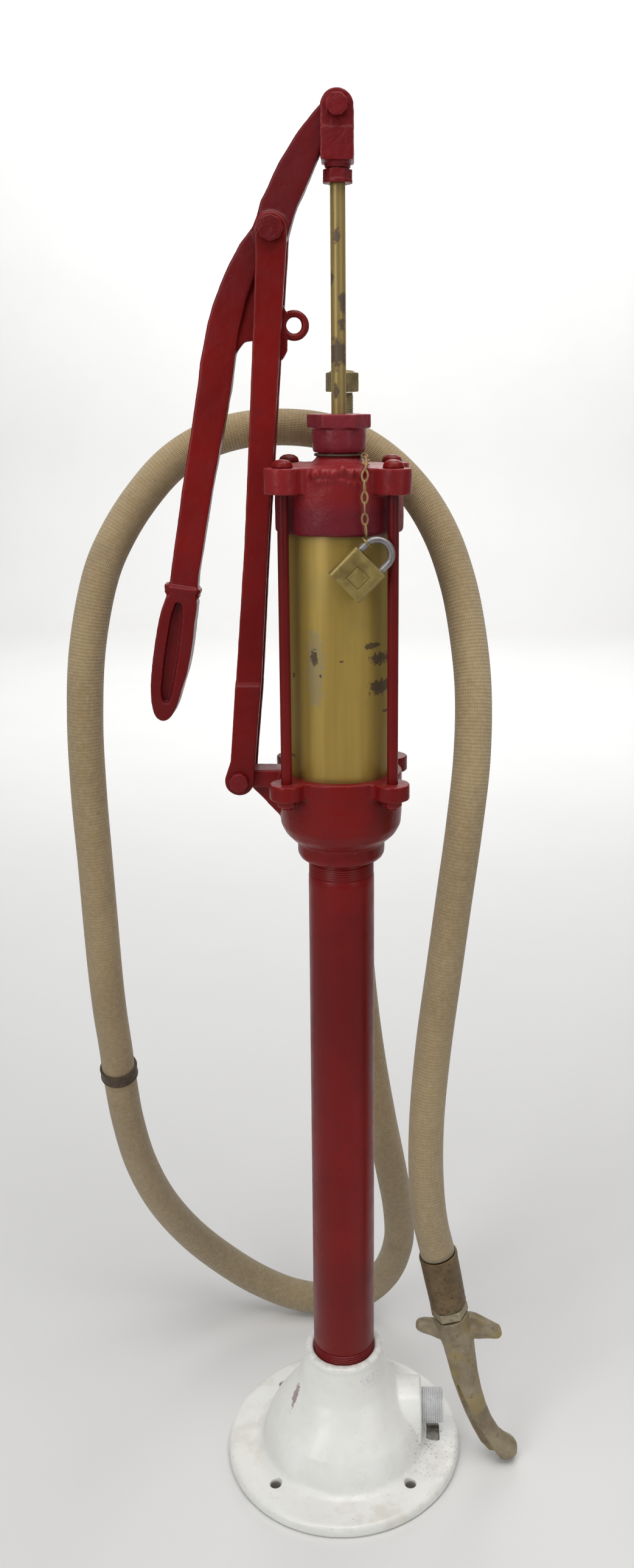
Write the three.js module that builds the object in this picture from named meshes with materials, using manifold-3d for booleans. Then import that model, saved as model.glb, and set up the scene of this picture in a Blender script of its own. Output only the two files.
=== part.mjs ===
// Double action hand pump on a pipe stand: white bell base, red column, brass cylinder held between two
// castings by four tie rods, a lever on a swinging link, and a canvas hose with a nozzle.
// Millimetres, +Z up. Origin: centre of the flat underside of the base. The lever hangs on the -X side,
// the outlet and the hose connection are at the back (+Y), the suction nipple points along +X.
import * as THREE from "three";
import { mergeVertices } from "three/addons/utils/BufferGeometryUtils.js";
import Module from "manifold-3d";

const wasm = await Module();
wasm.setup();

// ---------- driving dimensions ----------
const GAP = 0.3; // clearance between touching pieces
const BASE_R = 117.5, FLANGE_T = 12, BASE_TOP = 118;
const BOLT_PCD = 186, BOLT_HOLE_R = 5;
const INLET_Z = 45, INLET_R = 16.7, INLET_BORE_R = 13.3, INLET_END_X = 100, BOSS_X = 78;
const COLUMN_R = 30.15, COLUMN_BORE_R = 26.2, COLUMN_Z0 = 92.5, COLUMN_Z1 = 659.5;
const CYL_R = 47.6, CYL_BORE_R = 44.45, CYL_Z0 = 709.9, CYL_Z1 = 941.1;
const ROD_PITCH = 46, TIE_R = 4.75, LUG_R = 15;
const LUG_LOW = [704.5, 718], LUG_HIGH = [968, 989];
const HEAD_R = 55.5;
const GLAND_Z0 = 1000, GLAND_HEX_Z = 1020, GLAND_TOP = 1032;
const ROD_R = 6.35, ROD_HOLE = 6.7;
const PIN_C = [0, 1274]; // lever to piston rod
const PIN_F = [-54.4, 1180]; // fulcrum, lever to link
const PIN_B = [-90, 712]; // foot of the link, on the lower casting's arm
const PIN_R = 6.35, PIN_HOLE = 6.7;
const OUTLET_Z = 974, OUTLET_Y = 130;
const HOSE_R = 17, NOZZLE_Y = -20;

// ---------- materials ----------
const mat = (color, roughness, metalness) => new THREE.MeshStandardMaterial({ color, roughness, metalness });
const RED = mat(0x8c1520, 0.4, 0.0);
const WHITE = mat(0xe9e8e6, 0.35, 0.0);
const BRASS = mat(0xa58f3e, 0.38, 0.9);
const OLD_BRASS = mat(0x7c6a3a, 0.5, 0.8);
const GALVANISED = mat(0xc9cbd0, 0.4, 0.8);
const STEEL = mat(0x8d8680, 0.45, 0.8);
const RUST = mat(0x6b4a35, 0.7, 0.4);
const LEATHER = mat(0x5a3a22, 0.8, 0.0);
const CANVAS = mat(0xb59b70, 0.9, 0.0);
const CAST_ZINC = mat(0x8f8468, 0.6, 0.5);

// ---------- helpers ----------
function solid(geometry) {
  let g = geometry.index ? geometry.toNonIndexed() : geometry.clone();
  g.deleteAttribute("normal");
  g.deleteAttribute("uv");
  g = mergeVertices(g, 1e-4);
  const tri = new Uint32Array(g.index.array);
  const make = () => new wasm.Manifold(new wasm.Mesh({ numProp: 3, vertProperties: new Float32Array(g.attributes.position.array), triVerts: tri }));
  let m = make();
  if (m.volume() < 0) {
    for (let i = 0; i < tri.length; i += 3) [tri[i + 1], tri[i + 2]] = [tri[i + 2], tri[i + 1]];
    m = make();
  }
  return m;
}
const root = new THREE.Group();
function put(name, manifold, material) {
  const m = manifold.getMesh();
  const g = new THREE.BufferGeometry();
  g.setAttribute("position", new THREE.BufferAttribute(new Float32Array(m.vertProperties), 3));
  g.setIndex(new THREE.BufferAttribute(new Uint32Array(m.triVerts), 1));
  const mesh = new THREE.Mesh(g, material);
  mesh.name = name;
  root.add(mesh);
}
const V = (x, y) => new THREE.Vector2(x, y);
// a profile of [radius, height] pairs turned about Z; it starts and ends on the axis, or closes on itself
function lathe(profile, seg = 40, x = 0, y = 0) {
  const p = profile.map(([r, z]) => V(r, z));
  const onAxis = profile[0][0] === 0 && profile[profile.length - 1][0] === 0;
  if (!onAxis) p.push(p[0].clone());
  return solid(new THREE.LatheGeometry(p, seg).rotateX(Math.PI / 2).translate(x, y, 0));
}
const cylZ = (r, z0, z1, x = 0, y = 0, seg = 24, r2 = r) => solid(new THREE.CylinderGeometry(r2, r, z1 - z0, seg).rotateX(Math.PI / 2).translate(x, y, (z0 + z1) / 2));
const cylY = (r, y0, y1, x, z, seg = 24) => solid(new THREE.CylinderGeometry(r, r, y1 - y0, seg).translate(x, (y0 + y1) / 2, z));
const cylX = (r, x0, x1, y, z, seg = 24) => solid(new THREE.CylinderGeometry(r, r, x1 - x0, seg).rotateZ(Math.PI / 2).translate((x0 + x1) / 2, y, z));
const box = (x0, x1, y0, y1, z0, z1) => solid(new THREE.BoxGeometry(x1 - x0, y1 - y0, z1 - z0).translate((x0 + x1) / 2, (y0 + y1) / 2, (z0 + z1) / 2));
// a frustum between two points, and a ball
function rodBetween(a, b, r, r2 = r, seg = 10) {
  const A = new THREE.Vector3(...a), B = new THREE.Vector3(...b);
  const g = new THREE.CylinderGeometry(r2, r, A.distanceTo(B), seg);
  const q = new THREE.Quaternion().setFromUnitVectors(new THREE.Vector3(0, 1, 0), B.clone().sub(A).normalize());
  g.applyQuaternion(q);
  g.translate(...A.add(B).multiplyScalar(0.5).toArray());
  return solid(g);
}
// a round bar of changing radius, its centre line through stations [x, z, radius] that lie in the plane Y = y
function bentBar(stations, y, seg = 12) {
  const n = stations.length;
  const g = new THREE.LatheGeometry([V(0, 0), ...stations.map((s, i) => V(s[2], i)), V(0, n - 1)], seg);
  const p = g.attributes.position;
  for (let i = 0; i < p.count; i++) {
    const k = Math.round(p.getY(i)), a = stations[Math.max(k - 1, 0)], b = stations[Math.min(k + 1, n - 1)];
    const t = new THREE.Vector2(b[0] - a[0], b[1] - a[1]).normalize();
    const [u, v] = [p.getX(i), p.getZ(i)];
    p.setXYZ(i, stations[k][0] + u * t.y, y + v, stations[k][1] - u * t.x);
  }
  return solid(g);
}
// an outline in X and Z, as thick as y0 to y1
function plate(points, y0, y1) {
  const s = new THREE.Shape(points.map(([x, z]) => V(x, z)));
  return solid(new THREE.ExtrudeGeometry(s, { depth: y1 - y0, bevelEnabled: false, steps: 1 }).rotateX(Math.PI / 2).translate(0, y1, 0));
}
// an outline in X and Y, as tall as z0 to z1
function slab(points, z0, z1) {
  const s = new THREE.Shape(points.map(([x, y]) => V(x, y)));
  return solid(new THREE.ExtrudeGeometry(s, { depth: z1 - z0, bevelEnabled: false, steps: 1 }).translate(0, 0, z0));
}
const tube = (r, ri, z0, z1, seg = 40, x = 0, y = 0) => lathe([[ri, z0], [r, z0], [r, z1], [ri, z1]], seg, x, y);
const hexZ = (r, z0, z1, x = 0, y = 0, turn = 0) => solid(new THREE.CylinderGeometry(r, r, z1 - z0, 6).rotateY(turn).rotateX(Math.PI / 2).translate(x, y, (z0 + z1) / 2));
const hexY = (r, y0, y1, x, z, turn = 0, sides = 6) => solid(new THREE.CylinderGeometry(r, r, y1 - y0, sides).rotateY(turn).translate(x, (y0 + y1) / 2, z));
const all = (first, ...rest) => rest.reduce((m, n) => m.add(n), first);
const CORNERS = [[-1, -1, "front_left"], [1, -1, "front_right"], [1, 1, "back_right"], [-1, 1, "back_left"]];
// four tie-rod lugs joined to a round body by necks
function lugs(z0, z1) {
  let m = null;
  for (const [sx, sy] of CORNERS) {
    const x = sx * ROD_PITCH, y = sy * ROD_PITCH;
    const neck = slab([[sx * (24), sy * (52)], [sx * (36), sy * (56)], [sx * (56), sy * (36)], [sx * (52), sy * (24)], [sx * 30, sy * 30]], z0, z1);
    const one = all(cylZ(LUG_R, z0, z1, x, y, 14), neck);
    m = m ? m.add(one) : one;
  }
  return m;
}
const lugHoles = (z0, z1) => all(...CORNERS.map(([sx, sy]) => cylZ(TIE_R + 0.35, z0, z1, sx * ROD_PITCH, sy * ROD_PITCH, 12)));

// ---------- base ----------
{
  const outer = lathe([[0, 0], [115.5, 0], [BASE_R, 2], [BASE_R, FLANGE_T - 2], [115.5, FLANGE_T], [85, FLANGE_T + 1], [81.2, 20], [78.5, 30], [74, 42], [64.8, 55], [55, 68], [47.5, 80], [42.6, 92], [40.2, 104], [38.3, 112], [38, BASE_TOP - 2], [36, BASE_TOP], [0, BASE_TOP]], 36);
  const inner = lathe([[0, 14], [54, 14], [58, 20], [56, 50], [50, 66], [40, 76], [26, 86], [26, 92], [COLUMN_R + GAP + 0.15, 92], [COLUMN_R + GAP + 0.15, BASE_TOP + 1], [0, BASE_TOP + 1]], 24);
  // the inlet boss is round on top and has straight sides down to the flange
  let b = outer.add(cylX(27, 50, BOSS_X, 0, INLET_Z, 20)).add(box(50, BOSS_X, -27, 27, 10, INLET_Z)).subtract(inner);
  b = b.subtract(cylX(INLET_R + GAP + 0.1, 62, BOSS_X + 12, 0, INLET_Z, 18)).subtract(cylX(INLET_BORE_R, 40, 63, 0, INLET_Z, 12));
  b = b.subtract(box(82.5, 97.5, -12.5, 12.5, 6.5, 14));
  for (const [sx, sy] of CORNERS) b = b.subtract(cylZ(BOLT_HOLE_R, -1, 15, (sx * BOLT_PCD) / 2 * Math.SQRT1_2, (sy * BOLT_PCD) / 2 * Math.SQRT1_2, 12));
  put("base", b, WHITE);
  put("suction_nipple", cylX(INLET_R, 62.5, INLET_END_X, 0, INLET_Z, 18).subtract(cylX(INLET_BORE_R, 61, INLET_END_X + 1, 0, INLET_Z, 18)), GALVANISED);
}

// ---------- column ----------
put("column_pipe", tube(COLUMN_R, COLUMN_BORE_R, COLUMN_Z0, COLUMN_Z1, 28), RED);

// ---------- lower casting with the link's arm ----------
{
  const outer = lathe([[0, 636.5], [34, 636.5], [37.5, 638.5], [39, 642], [39, 652], [44, 655.5], [50, 661], [54, 668.5], [55, 676], [55, 716.5], [53.5, 718], [0, 718]], 28);
  const inner = lathe([[0, 635], [COLUMN_R + GAP + 0.15, 635], [COLUMN_R + GAP + 0.15, 660], [20, 660], [20, 676], [28, 676], [28, 684], [40, 690], [40, 708], [CYL_R + 0.35, 708], [CYL_R + 0.35, 720], [0, 720]], 28);
  let c = outer.add(lugs(LUG_LOW[0], LUG_LOW[1]));
  c = all(c, box(-90, -49, -12.5, 12.5, 704, 720), cylY(13, -12.5, 12.5, PIN_B[0], PIN_B[1], 18), plate([[-82, 705], [-52, 705], [-50, 672]], -4, 4));
  c = c.subtract(inner).subtract(lugHoles(700, 722)).subtract(cylY(PIN_HOLE, -14, 14, PIN_B[0], PIN_B[1], 14));
  put("lower_casting", c, RED);
}

// ---------- foot valve, inside the lower casting ----------
put("foot_valve_seat", tube(27.5, 13, 676.3, 682, 20), BRASS);
put("foot_valve_disc", cylZ(18, 682.3, 686.3, 0, 0, 16).add(cylZ(3, 668, 683, 0, 0, 8)), BRASS);
put("foot_valve_cage", all(tube(27.4, 24, 682.3, 684, 18), box(-26, -22, -3, 3, 683, 695), box(22, 26, -3, 3, 683, 695), box(-26, 26, -3, 3, 692, 695)), BRASS);

// ---------- cylinder and its gaskets ----------
put("lower_gasket", tube(47.55, 44.45, 708.3, 709.6, 20), LEATHER);
put("brass_cylinder", tube(CYL_R, CYL_BORE_R, CYL_Z0, CYL_Z1, 32), BRASS);
put("upper_gasket", tube(47.55, 44.45, 941.4, 942.7, 20), LEATHER);

// ---------- head ----------
{
  const outer = lathe([[0, 933], [54.5, 933], [HEAD_R, 934.5], [HEAD_R, 984], [54, 988], [50, 990], [30, 991], [22.5, 993], [18.5, 996], [18.5, 999.7], [16.5, 999.7], [16.5, 1016], [0, 1016]], 28);
  const inner = lathe([[0, 932], [CYL_R + 0.35, 932], [CYL_R + 0.35, 943], [42, 943], [40, 972], [16, 978], [ROD_HOLE, 980], [ROD_HOLE, 1000], [11, 1000], [11, 1017], [0, 1017]], 28);
  let h = outer.add(lugs(LUG_HIGH[0], LUG_HIGH[1])).add(cylY(18, 40, 64, 0, OUTLET_Z, 16));
  h = h.subtract(inner).subtract(lugHoles(960, 995)).subtract(cylY(13.35 + GAP + 0.1, 56, 66, 0, OUTLET_Z, 16)).subtract(cylY(9.5, 30, 60, 0, OUTLET_Z - 2, 12));
  put("head", h, RED);
}
put("packing", tube(10.6, ROD_HOLE, 1001, 1012, 16), LEATHER);
put("packing_follower", tube(10.6, ROD_HOLE, 1012.3, 1017.6, 16), BRASS);
{
  let g = lathe([[0, GLAND_Z0], [21.8, GLAND_Z0], [22.6, 1002], [23.3, 1008], [23.3, GLAND_HEX_Z + 0.5], [0, GLAND_HEX_Z + 0.5]], 20);
  g = g.add(hexZ(27.6, GLAND_HEX_Z, GLAND_TOP, 0, 0, Math.PI / 6));
  g = g.subtract(cylZ(17, 999, 1018, 0, 0, 24)).subtract(cylZ(ROD_HOLE, 1010, 1034, 0, 0, 18));
  put("gland_nut", g, RED);
}

// ---------- tie rods and their nuts ----------
for (const [sx, sy, where] of CORNERS) {
  const x = sx * ROD_PITCH, y = sy * ROD_PITCH;
  put(`tie_rod_${where}`, lathe([[0, 694.5], [TIE_R, 694.5], [TIE_R, 989.3], [9, 989.3], [9, 991.5], [7.2, 994.6], [3.8, 996], [0, 996.4]], 12, x, y), RED);
  put(`tie_nut_${where}`, hexZ(8.7, 697.2, 704.2, x, y).subtract(cylZ(TIE_R + GAP + 0.05, 696, 705, x, y, 12)), RED);
}

// ---------- piston, inside the cylinder ----------
{
  let p = tube(43.9, ROD_HOLE, 897, 915, 24);
  for (let i = 0; i < 4; i++) p = p.subtract(cylZ(6, 896, 916, 24 * Math.cos((i * Math.PI) / 2), 24 * Math.sin((i * Math.PI) / 2), 8));
  put("piston_body", p, BRASS);
  put("piston_valve", tube(33, 13, 915.3, 917.8, 18), BRASS);
  put("piston_valve_stop", tube(20, ROD_HOLE, 922.3, 924.3, 16), BRASS);
  put("piston_top_nut", hexZ(11, 924.6, 931).subtract(cylZ(ROD_HOLE, 920, 935, 0, 0, 14)), BRASS);
  put("piston_bottom_nut", hexZ(11, 888, 896.7).subtract(cylZ(ROD_HOLE, 880, 900, 0, 0, 14)), BRASS);
  put("cup_leather_upper", lathe([[33.8, 915.3], [44.1, 915.3], [44.1, 923], [41.6, 923], [41.6, 917.6], [33.8, 917.6]], 24), LEATHER);
  put("cup_leather_lower", lathe([[33.6, 896.7], [44.1, 896.7], [44.1, 889], [41.6, 889], [41.6, 894.4], [33.6, 894.4]], 24), LEATHER);
}
put("piston_rod", cylZ(ROD_R, 884, 1238.4, 0, 0, 18), BRASS);
put("rod_locknut", hexZ(12.2, 1216.3, 1227.7, 0, 0, Math.PI / 6).subtract(cylZ(ROD_HOLE, 1215, 1229, 0, 0, 16)), RED);

// ---------- clevis on the rod's end ----------
{
  const [cx, cz] = PIN_C;
  let c = all(cylZ(10, 1228, 1234, 0, 0, 16), box(-13.5, 13.5, -15, 15, 1233, cz), cylY(13.5, -15, 15, cx, cz, 20));
  c = c.subtract(box(-15, 15, -8.6, 8.6, 1240.5, 1290)).subtract(cylY(PIN_HOLE, -17, 17, cx, cz, 16)).subtract(cylZ(ROD_HOLE, 1227, 1239, 0, 0, 16));
  put("clevis", c, RED);
  put("clevis_bolt", cylY(PIN_R, -15.5, 22.5, cx, cz, 16).add(hexY(9.2, -21.5, -15.3, cx, cz, Math.PI / 8, 8)), RED);
  put("clevis_bolt_nut", hexY(10.5, 15.3, 21.5, cx, cz).subtract(cylY(PIN_HOLE, 14, 23, cx, cz, 16)), RED);
}

// ---------- lever: short arm to the clevis, long arm with a collar and a pocketed grip ----------
{
  const outline = [
    [-13.2, 1277], [-20, 1269.5], [-28, 1260.5], [-34.5, 1252], [-41, 1242], [-47.3, 1232.5], [-52, 1224], [-57, 1213], [-62.8, 1203], [-66.5, 1190], [-70.2, 1182], [-80.7, 1169], [-89.3, 1154.5], [-98.1, 1136.5], [-104.7, 1119.5], [-109.3, 1104.5], [-112.8, 1089.5], [-116, 1074.5], [-119.2, 1052], [-134, 972], [-146.8, 896], [-149.2, 882],
    [-124.5, 877], [-122.4, 896], [-108, 972], [-90.7, 1052], [-87.2, 1076], [-83, 1100], [-76, 1125], [-66, 1150], [-54, 1166], [-41, 1175], [-37.5, 1186], [-33, 1199], [-27.8, 1209], [-22.5, 1220], [-18.6, 1229], [-13.8, 1240], [-8, 1250], [-2, 1259], [6, 1262],
  ];
  // the web between the long arm and the lock eye is thinner than the arm
  const web = [[-90, 1140], [-86, 1080], [-80, 1091], [-73, 1092.3], [-62, 1090.5], [-53, 1087], [-53, 1168], [-62, 1170]];
  let l = plate(outline, -8.2, 8.2);
  l = all(l, plate(web, -4, 4), cylY(13.2, -8.2, 8.2, PIN_C[0], PIN_C[1], 18), cylY(14.5, -9.6, 9.6, PIN_F[0], PIN_F[1], 20));
  // grip, a little thicker than the arm, with a pocket in each side
  const grip = [[-151, 877], [-156.4, 862], [-160.4, 845], [-163.2, 830], [-165.2, 817], [-166.9, 803], [-167.6, 790], [-166.8, 777.5], [-163.6, 768.5], [-158.6, 764.8], [-152.6, 766.5], [-147.2, 773.5], [-142.5, 785], [-138.8, 797], [-135, 808], [-131.6, 822], [-128.8, 838], [-127, 852], [-125.6, 876]];
  l = l.add(plate(grip, -11.5, 11.5));
  const pocket = [[-144, 870], [-149, 850], [-153.4, 828], [-156.8, 806], [-158.4, 790], [-156.4, 781.5], [-152.4, 781], [-148.4, 790], [-144.6, 806], [-140.6, 828], [-138, 850], [-137.5, 868], [-140, 872.5]];
  l = l.subtract(plate(pocket, -12.5, -4)).subtract(plate(pocket, 4, 12.5));
  // collar above the grip, square to the arm
  const u = new THREE.Vector2(-0.165, -0.986), k = [-137.4, 880.5];
  const q = (side, along) => [k[0] + side * u.y + along * u.x, k[1] - side * u.x + along * u.y];
  l = l.add(plate([q(-15.5, -5), q(-16.8, -2.5), q(-16.8, 2.5), q(-15.5, 5), q(15.5, 5), q(16.8, 2.5), q(16.8, -2.5), q(15.5, -5)], -13.5, 13.5));
  l = l.subtract(cylY(PIN_HOLE, -12, 12, PIN_C[0], PIN_C[1], 16)).subtract(cylY(PIN_HOLE, -12, 12, PIN_F[0], PIN_F[1], 16));
  put("lever", l, RED);
}
// ---------- lock eye: a plate and ring on the edge of the lever's web ----------
{
  const eye = all(plate([[-52.7, 1078], [-48, 1075.5], [-44.6, 1080.5], [-42.8, 1084], [-42.6, 1113], [-46, 1121], [-52.7, 1124]], -3.5, 3.5), cylY(12.7, -3.5, 3.5, -37.2, 1104.6, 18).subtract(box(-60, -44.5, -5, 5, 1085, 1125)));
  put("lock_eye", eye.subtract(cylY(6.2, -5, 5, -37, 1104.8, 14)), RED);
}

// ---------- swinging link: two straps, joggled apart near the foot ----------
for (const [side, where] of [[-1, "front"], [1, "back"]]) {
  const upper = [[-67.6, 1176], [-67.4, 1158], [-73.3, 1052], [-81.5, 920], [-91.4, 802], [-91.9, 794], [-69.4, 794], [-68.9, 802], [-61.2, 920], [-50.9, 1052], [-42.5, 1158], [-41.2, 1176]];
  const lower = [[-91.4, 804], [-93, 785], [-97.6, 730], [-103, 714], [-77, 710], [-75.6, 730], [-70.2, 785], [-68.9, 804]];
  const y = (a, b) => (side < 0 ? [-b, -a] : [a, b]);
  let s = all(plate(upper, ...y(10, 17.6)), cylY(13.2, ...y(10, 17.6), PIN_F[0], PIN_F[1], 18), plate(lower, ...y(13, 20.6)), cylY(13, ...y(13, 20.6), PIN_B[0], PIN_B[1], 18), plate([[-91.6, 806], [-92.3, 792], [-69.6, 792], [-68.6, 806]], ...y(10, 20.6)));
  s = s.subtract(cylY(PIN_HOLE, ...y(8, 24), PIN_F[0], PIN_F[1], 16)).subtract(cylY(PIN_HOLE, ...y(8, 24), PIN_B[0], PIN_B[1], 16));
  put(`link_strap_${where}`, s, RED);
}
put("fulcrum_bolt", cylY(PIN_R, -18, 25, PIN_F[0], PIN_F[1], 16).add(hexY(11, -24.5, -17.9, PIN_F[0], PIN_F[1], 0.35, 8)), RED);
put("fulcrum_nut", hexY(10.5, 17.9, 24, PIN_F[0], PIN_F[1]).subtract(cylY(PIN_HOLE, 16, 27, PIN_F[0], PIN_F[1], 16)), RED);
// the foot's bolt is in three stretches, because the linkage is open at this pivot
put("foot_bolt_head_end", cylY(PIN_R, -22, -13, PIN_B[0], PIN_B[1], 16).add(hexY(8.8, -26.5, -20.9, PIN_B[0], PIN_B[1], 0.2, 8)), RED);
put("foot_bolt_middle", cylY(PIN_R, -12.4, 12.4, PIN_B[0], PIN_B[1], 16), STEEL);
put("foot_bolt_nut_end", cylY(PIN_R, 13, 22, PIN_B[0], PIN_B[1], 16).add(hexY(10, 20.9, 26.5, PIN_B[0], PIN_B[1])), RED);

// ---------- outlet at the back ----------
put("outlet_nipple", cylY(13.35, 56.4, 117.4, 0, OUTLET_Z, 16).subtract(cylY(9.5, 50, 120, 0, OUTLET_Z, 12)), OLD_BRASS);
{
  let t = cylZ(17, 946, 993, 0, OUTLET_Y, 16).add(cylY(17, 112, OUTLET_Y, 0, OUTLET_Z, 16));
  t = t.subtract(cylY(13.35 + GAP + 0.1, 110, 118, 0, OUTLET_Z, 16)).subtract(cylY(9.5, 110, OUTLET_Y, 0, OUTLET_Z, 12)).subtract(cylZ(9.5, 945, 995, 0, OUTLET_Y, 12)).subtract(cylZ(10.65 + GAP + 0.1, 986, 995, 0, OUTLET_Y, 16));
  put("outlet_tee", t, OLD_BRASS);
}
put("vent_stem", cylZ(10.65, 986.4, 1049.7, 0, OUTLET_Y, 16).subtract(cylZ(7.5, 980, 1060, 0, OUTLET_Y, 12)), OLD_BRASS);
put("vent_cap", hexZ(16, 1050, 1071, 0, OUTLET_Y, 0.4).subtract(cylZ(3, 1040, 1064, 0, OUTLET_Y, 8)), OLD_BRASS);
put("hose_coupling", all(cylZ(18.5, 925, 938, 0, OUTLET_Y, 18), hexZ(20, 938, 945.7, 0, OUTLET_Y)).subtract(cylZ(9.5, 920, 950, 0, OUTLET_Y, 12)), OLD_BRASS);

// ---------- hose: down behind the pump, round on the floor, up the left, over the outlet and down on the right ----------
const HOSE_ROUTE = [
  [0, 130, 924.7], [0, 130, 890], [0, 131, 830], [1, 132, 760], [3, 133, 680], [6, 134, 600], [10, 134, 520], [16, 134, 440], [25, 134, 365], [37, 136, 290], [49, 142, 222], [57, 150, 168],
  [57.5, 160, 118], [43, 172, 70], [14, 184, 35], [-24, 194, 19.5], [-64, 198, 23], [-104, 196, 43], [-143, 188, 77], [-178, 174, 121], [-206, 158, 173], [-224, 142, 230], [-233, 126, 291],
  [-235.5, 109, 348], [-236, 94, 397], [-237, 81, 441], [-237.6, 72, 485], [-238, 66, 527], [-239.5, 60, 605], [-241.5, 56, 680], [-241.5, 56, 751], [-236.5, 60, 820], [-222, 67, 887], [-207.5, 73, 920], [-186.5, 80, 953], [-158, 87, 985], [-127, 92, 1005], [-93, 95, 1015.5], [-57, 96, 1018.5], [-23, 96, 1016], [3, 95, 1009.3], [27, 93, 997.5], [52, 88, 978], [75, 79, 951.5], [92.5, 65, 921], [104, 50, 889.5], [111.5, 37, 858], [119, 14, 796], [118, -6, 733], [111, -17, 667], [102.5, -20, 599], [94, -20, 527], [85.5, -20, 453.5], [80, -20, 378], [80, -20, 318], [84.5, -20, 270], [92, -20, 236],
];
{
  const curve = new THREE.CatmullRomCurve3(HOSE_ROUTE.map((p) => new THREE.Vector3(...p)), false, "centripetal");
  const ring = new THREE.Shape();
  for (let i = 0; i < 8; i++) ring[i ? "lineTo" : "moveTo"](HOSE_R * Math.cos((i * Math.PI) / 4), HOSE_R * Math.sin((i * Math.PI) / 4));
  ring.closePath();
  put("hose", solid(new THREE.ExtrudeGeometry(ring, { steps: 68, extrudePath: curve, bevelEnabled: false })), CANVAS);
}
// steel band round the hose on the left
{
  const a = new THREE.Vector3(-235.6, 105, 361), d = new THREE.Vector3(-0.5, -15, 49).normalize();
  const at = (t) => a.clone().addScaledVector(d, t).toArray();
  put("hose_band", rodBetween(at(-7), at(7), HOSE_R + 2.4, HOSE_R + 2.4, 16).subtract(rodBetween(at(-8), at(8), HOSE_R + 1, HOSE_R + 1, 16)), RUST);
}

// ---------- nozzle on the hose's end, its tip on the floor ----------
{
  const Y = NOZZLE_Y, top = [92, Y, 235.6], d = new THREE.Vector3(0.193, 0, -0.981).normalize();
  const at = (t) => new THREE.Vector3(...top).addScaledVector(d, t).toArray();
  put("nozzle_ferrule", rodBetween(at(0.4), at(58), 18.8, 17.6, 18), RUST);
  put("nozzle_nut", rodBetween(at(58.4), at(68), 18.6, 18.6, 6), OLD_BRASS);
  let n = bentBar([[105.5, 167.2, 17.2], [109, 153, 17.2], [113.3, 137, 15.8], [117, 117, 14.4], [120.4, 99, 13.4], [125.6, 79, 12.2], [131.6, 60, 11.4], [138.5, 43, 11], [146.5, 27.5, 11.4], [155, 17.8, 12.2], [164, 12.8, 12.2], [170.5, 11.8, 9.6], [174.2, 11.6, 5]], Y, 20);
  n = all(n, bentBar([[110, 149.5, 11], [98, 150.5, 11], [87, 153, 8.6], [79, 154.6, 7.6], [73.6, 155.4, 5.8], [71.4, 155.6, 3]], Y, 10), bentBar([[110, 149.5, 12.4], [122, 150.5, 11], [131, 151, 7.4], [141, 148.8, 6.6], [149, 146.2, 6.4], [154, 144.4, 4.6], [155.6, 143.8, 2.4]], Y, 10));
  // a web fills the corner between the right-hand lug and the spout's top
  n = n.add(plate([[110, 150], [116, 160], [124.5, 167.5], [131, 165.5], [143, 158.5], [154, 152], [156.2, 146.5], [150, 142.5], [134, 141.5], [118, 142]], Y - 4.5, Y + 4.5));
  n = n.subtract(box(134, 166, Y - 5, Y + 5, -2, 9));
  // the spout's lower front side is an open channel that widens towards the tip
  n = n.subtract(bentBar([[112.5, 101, 1.5], [118.5, 76, 3.4], [125.5, 55, 4.8], [134, 36, 6], [143, 20, 6.6], [149, 9, 6.8], [151.5, 1, 6.8]], Y - 8, 12));
  put("nozzle_body", n, CAST_ZINC);
}

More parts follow.
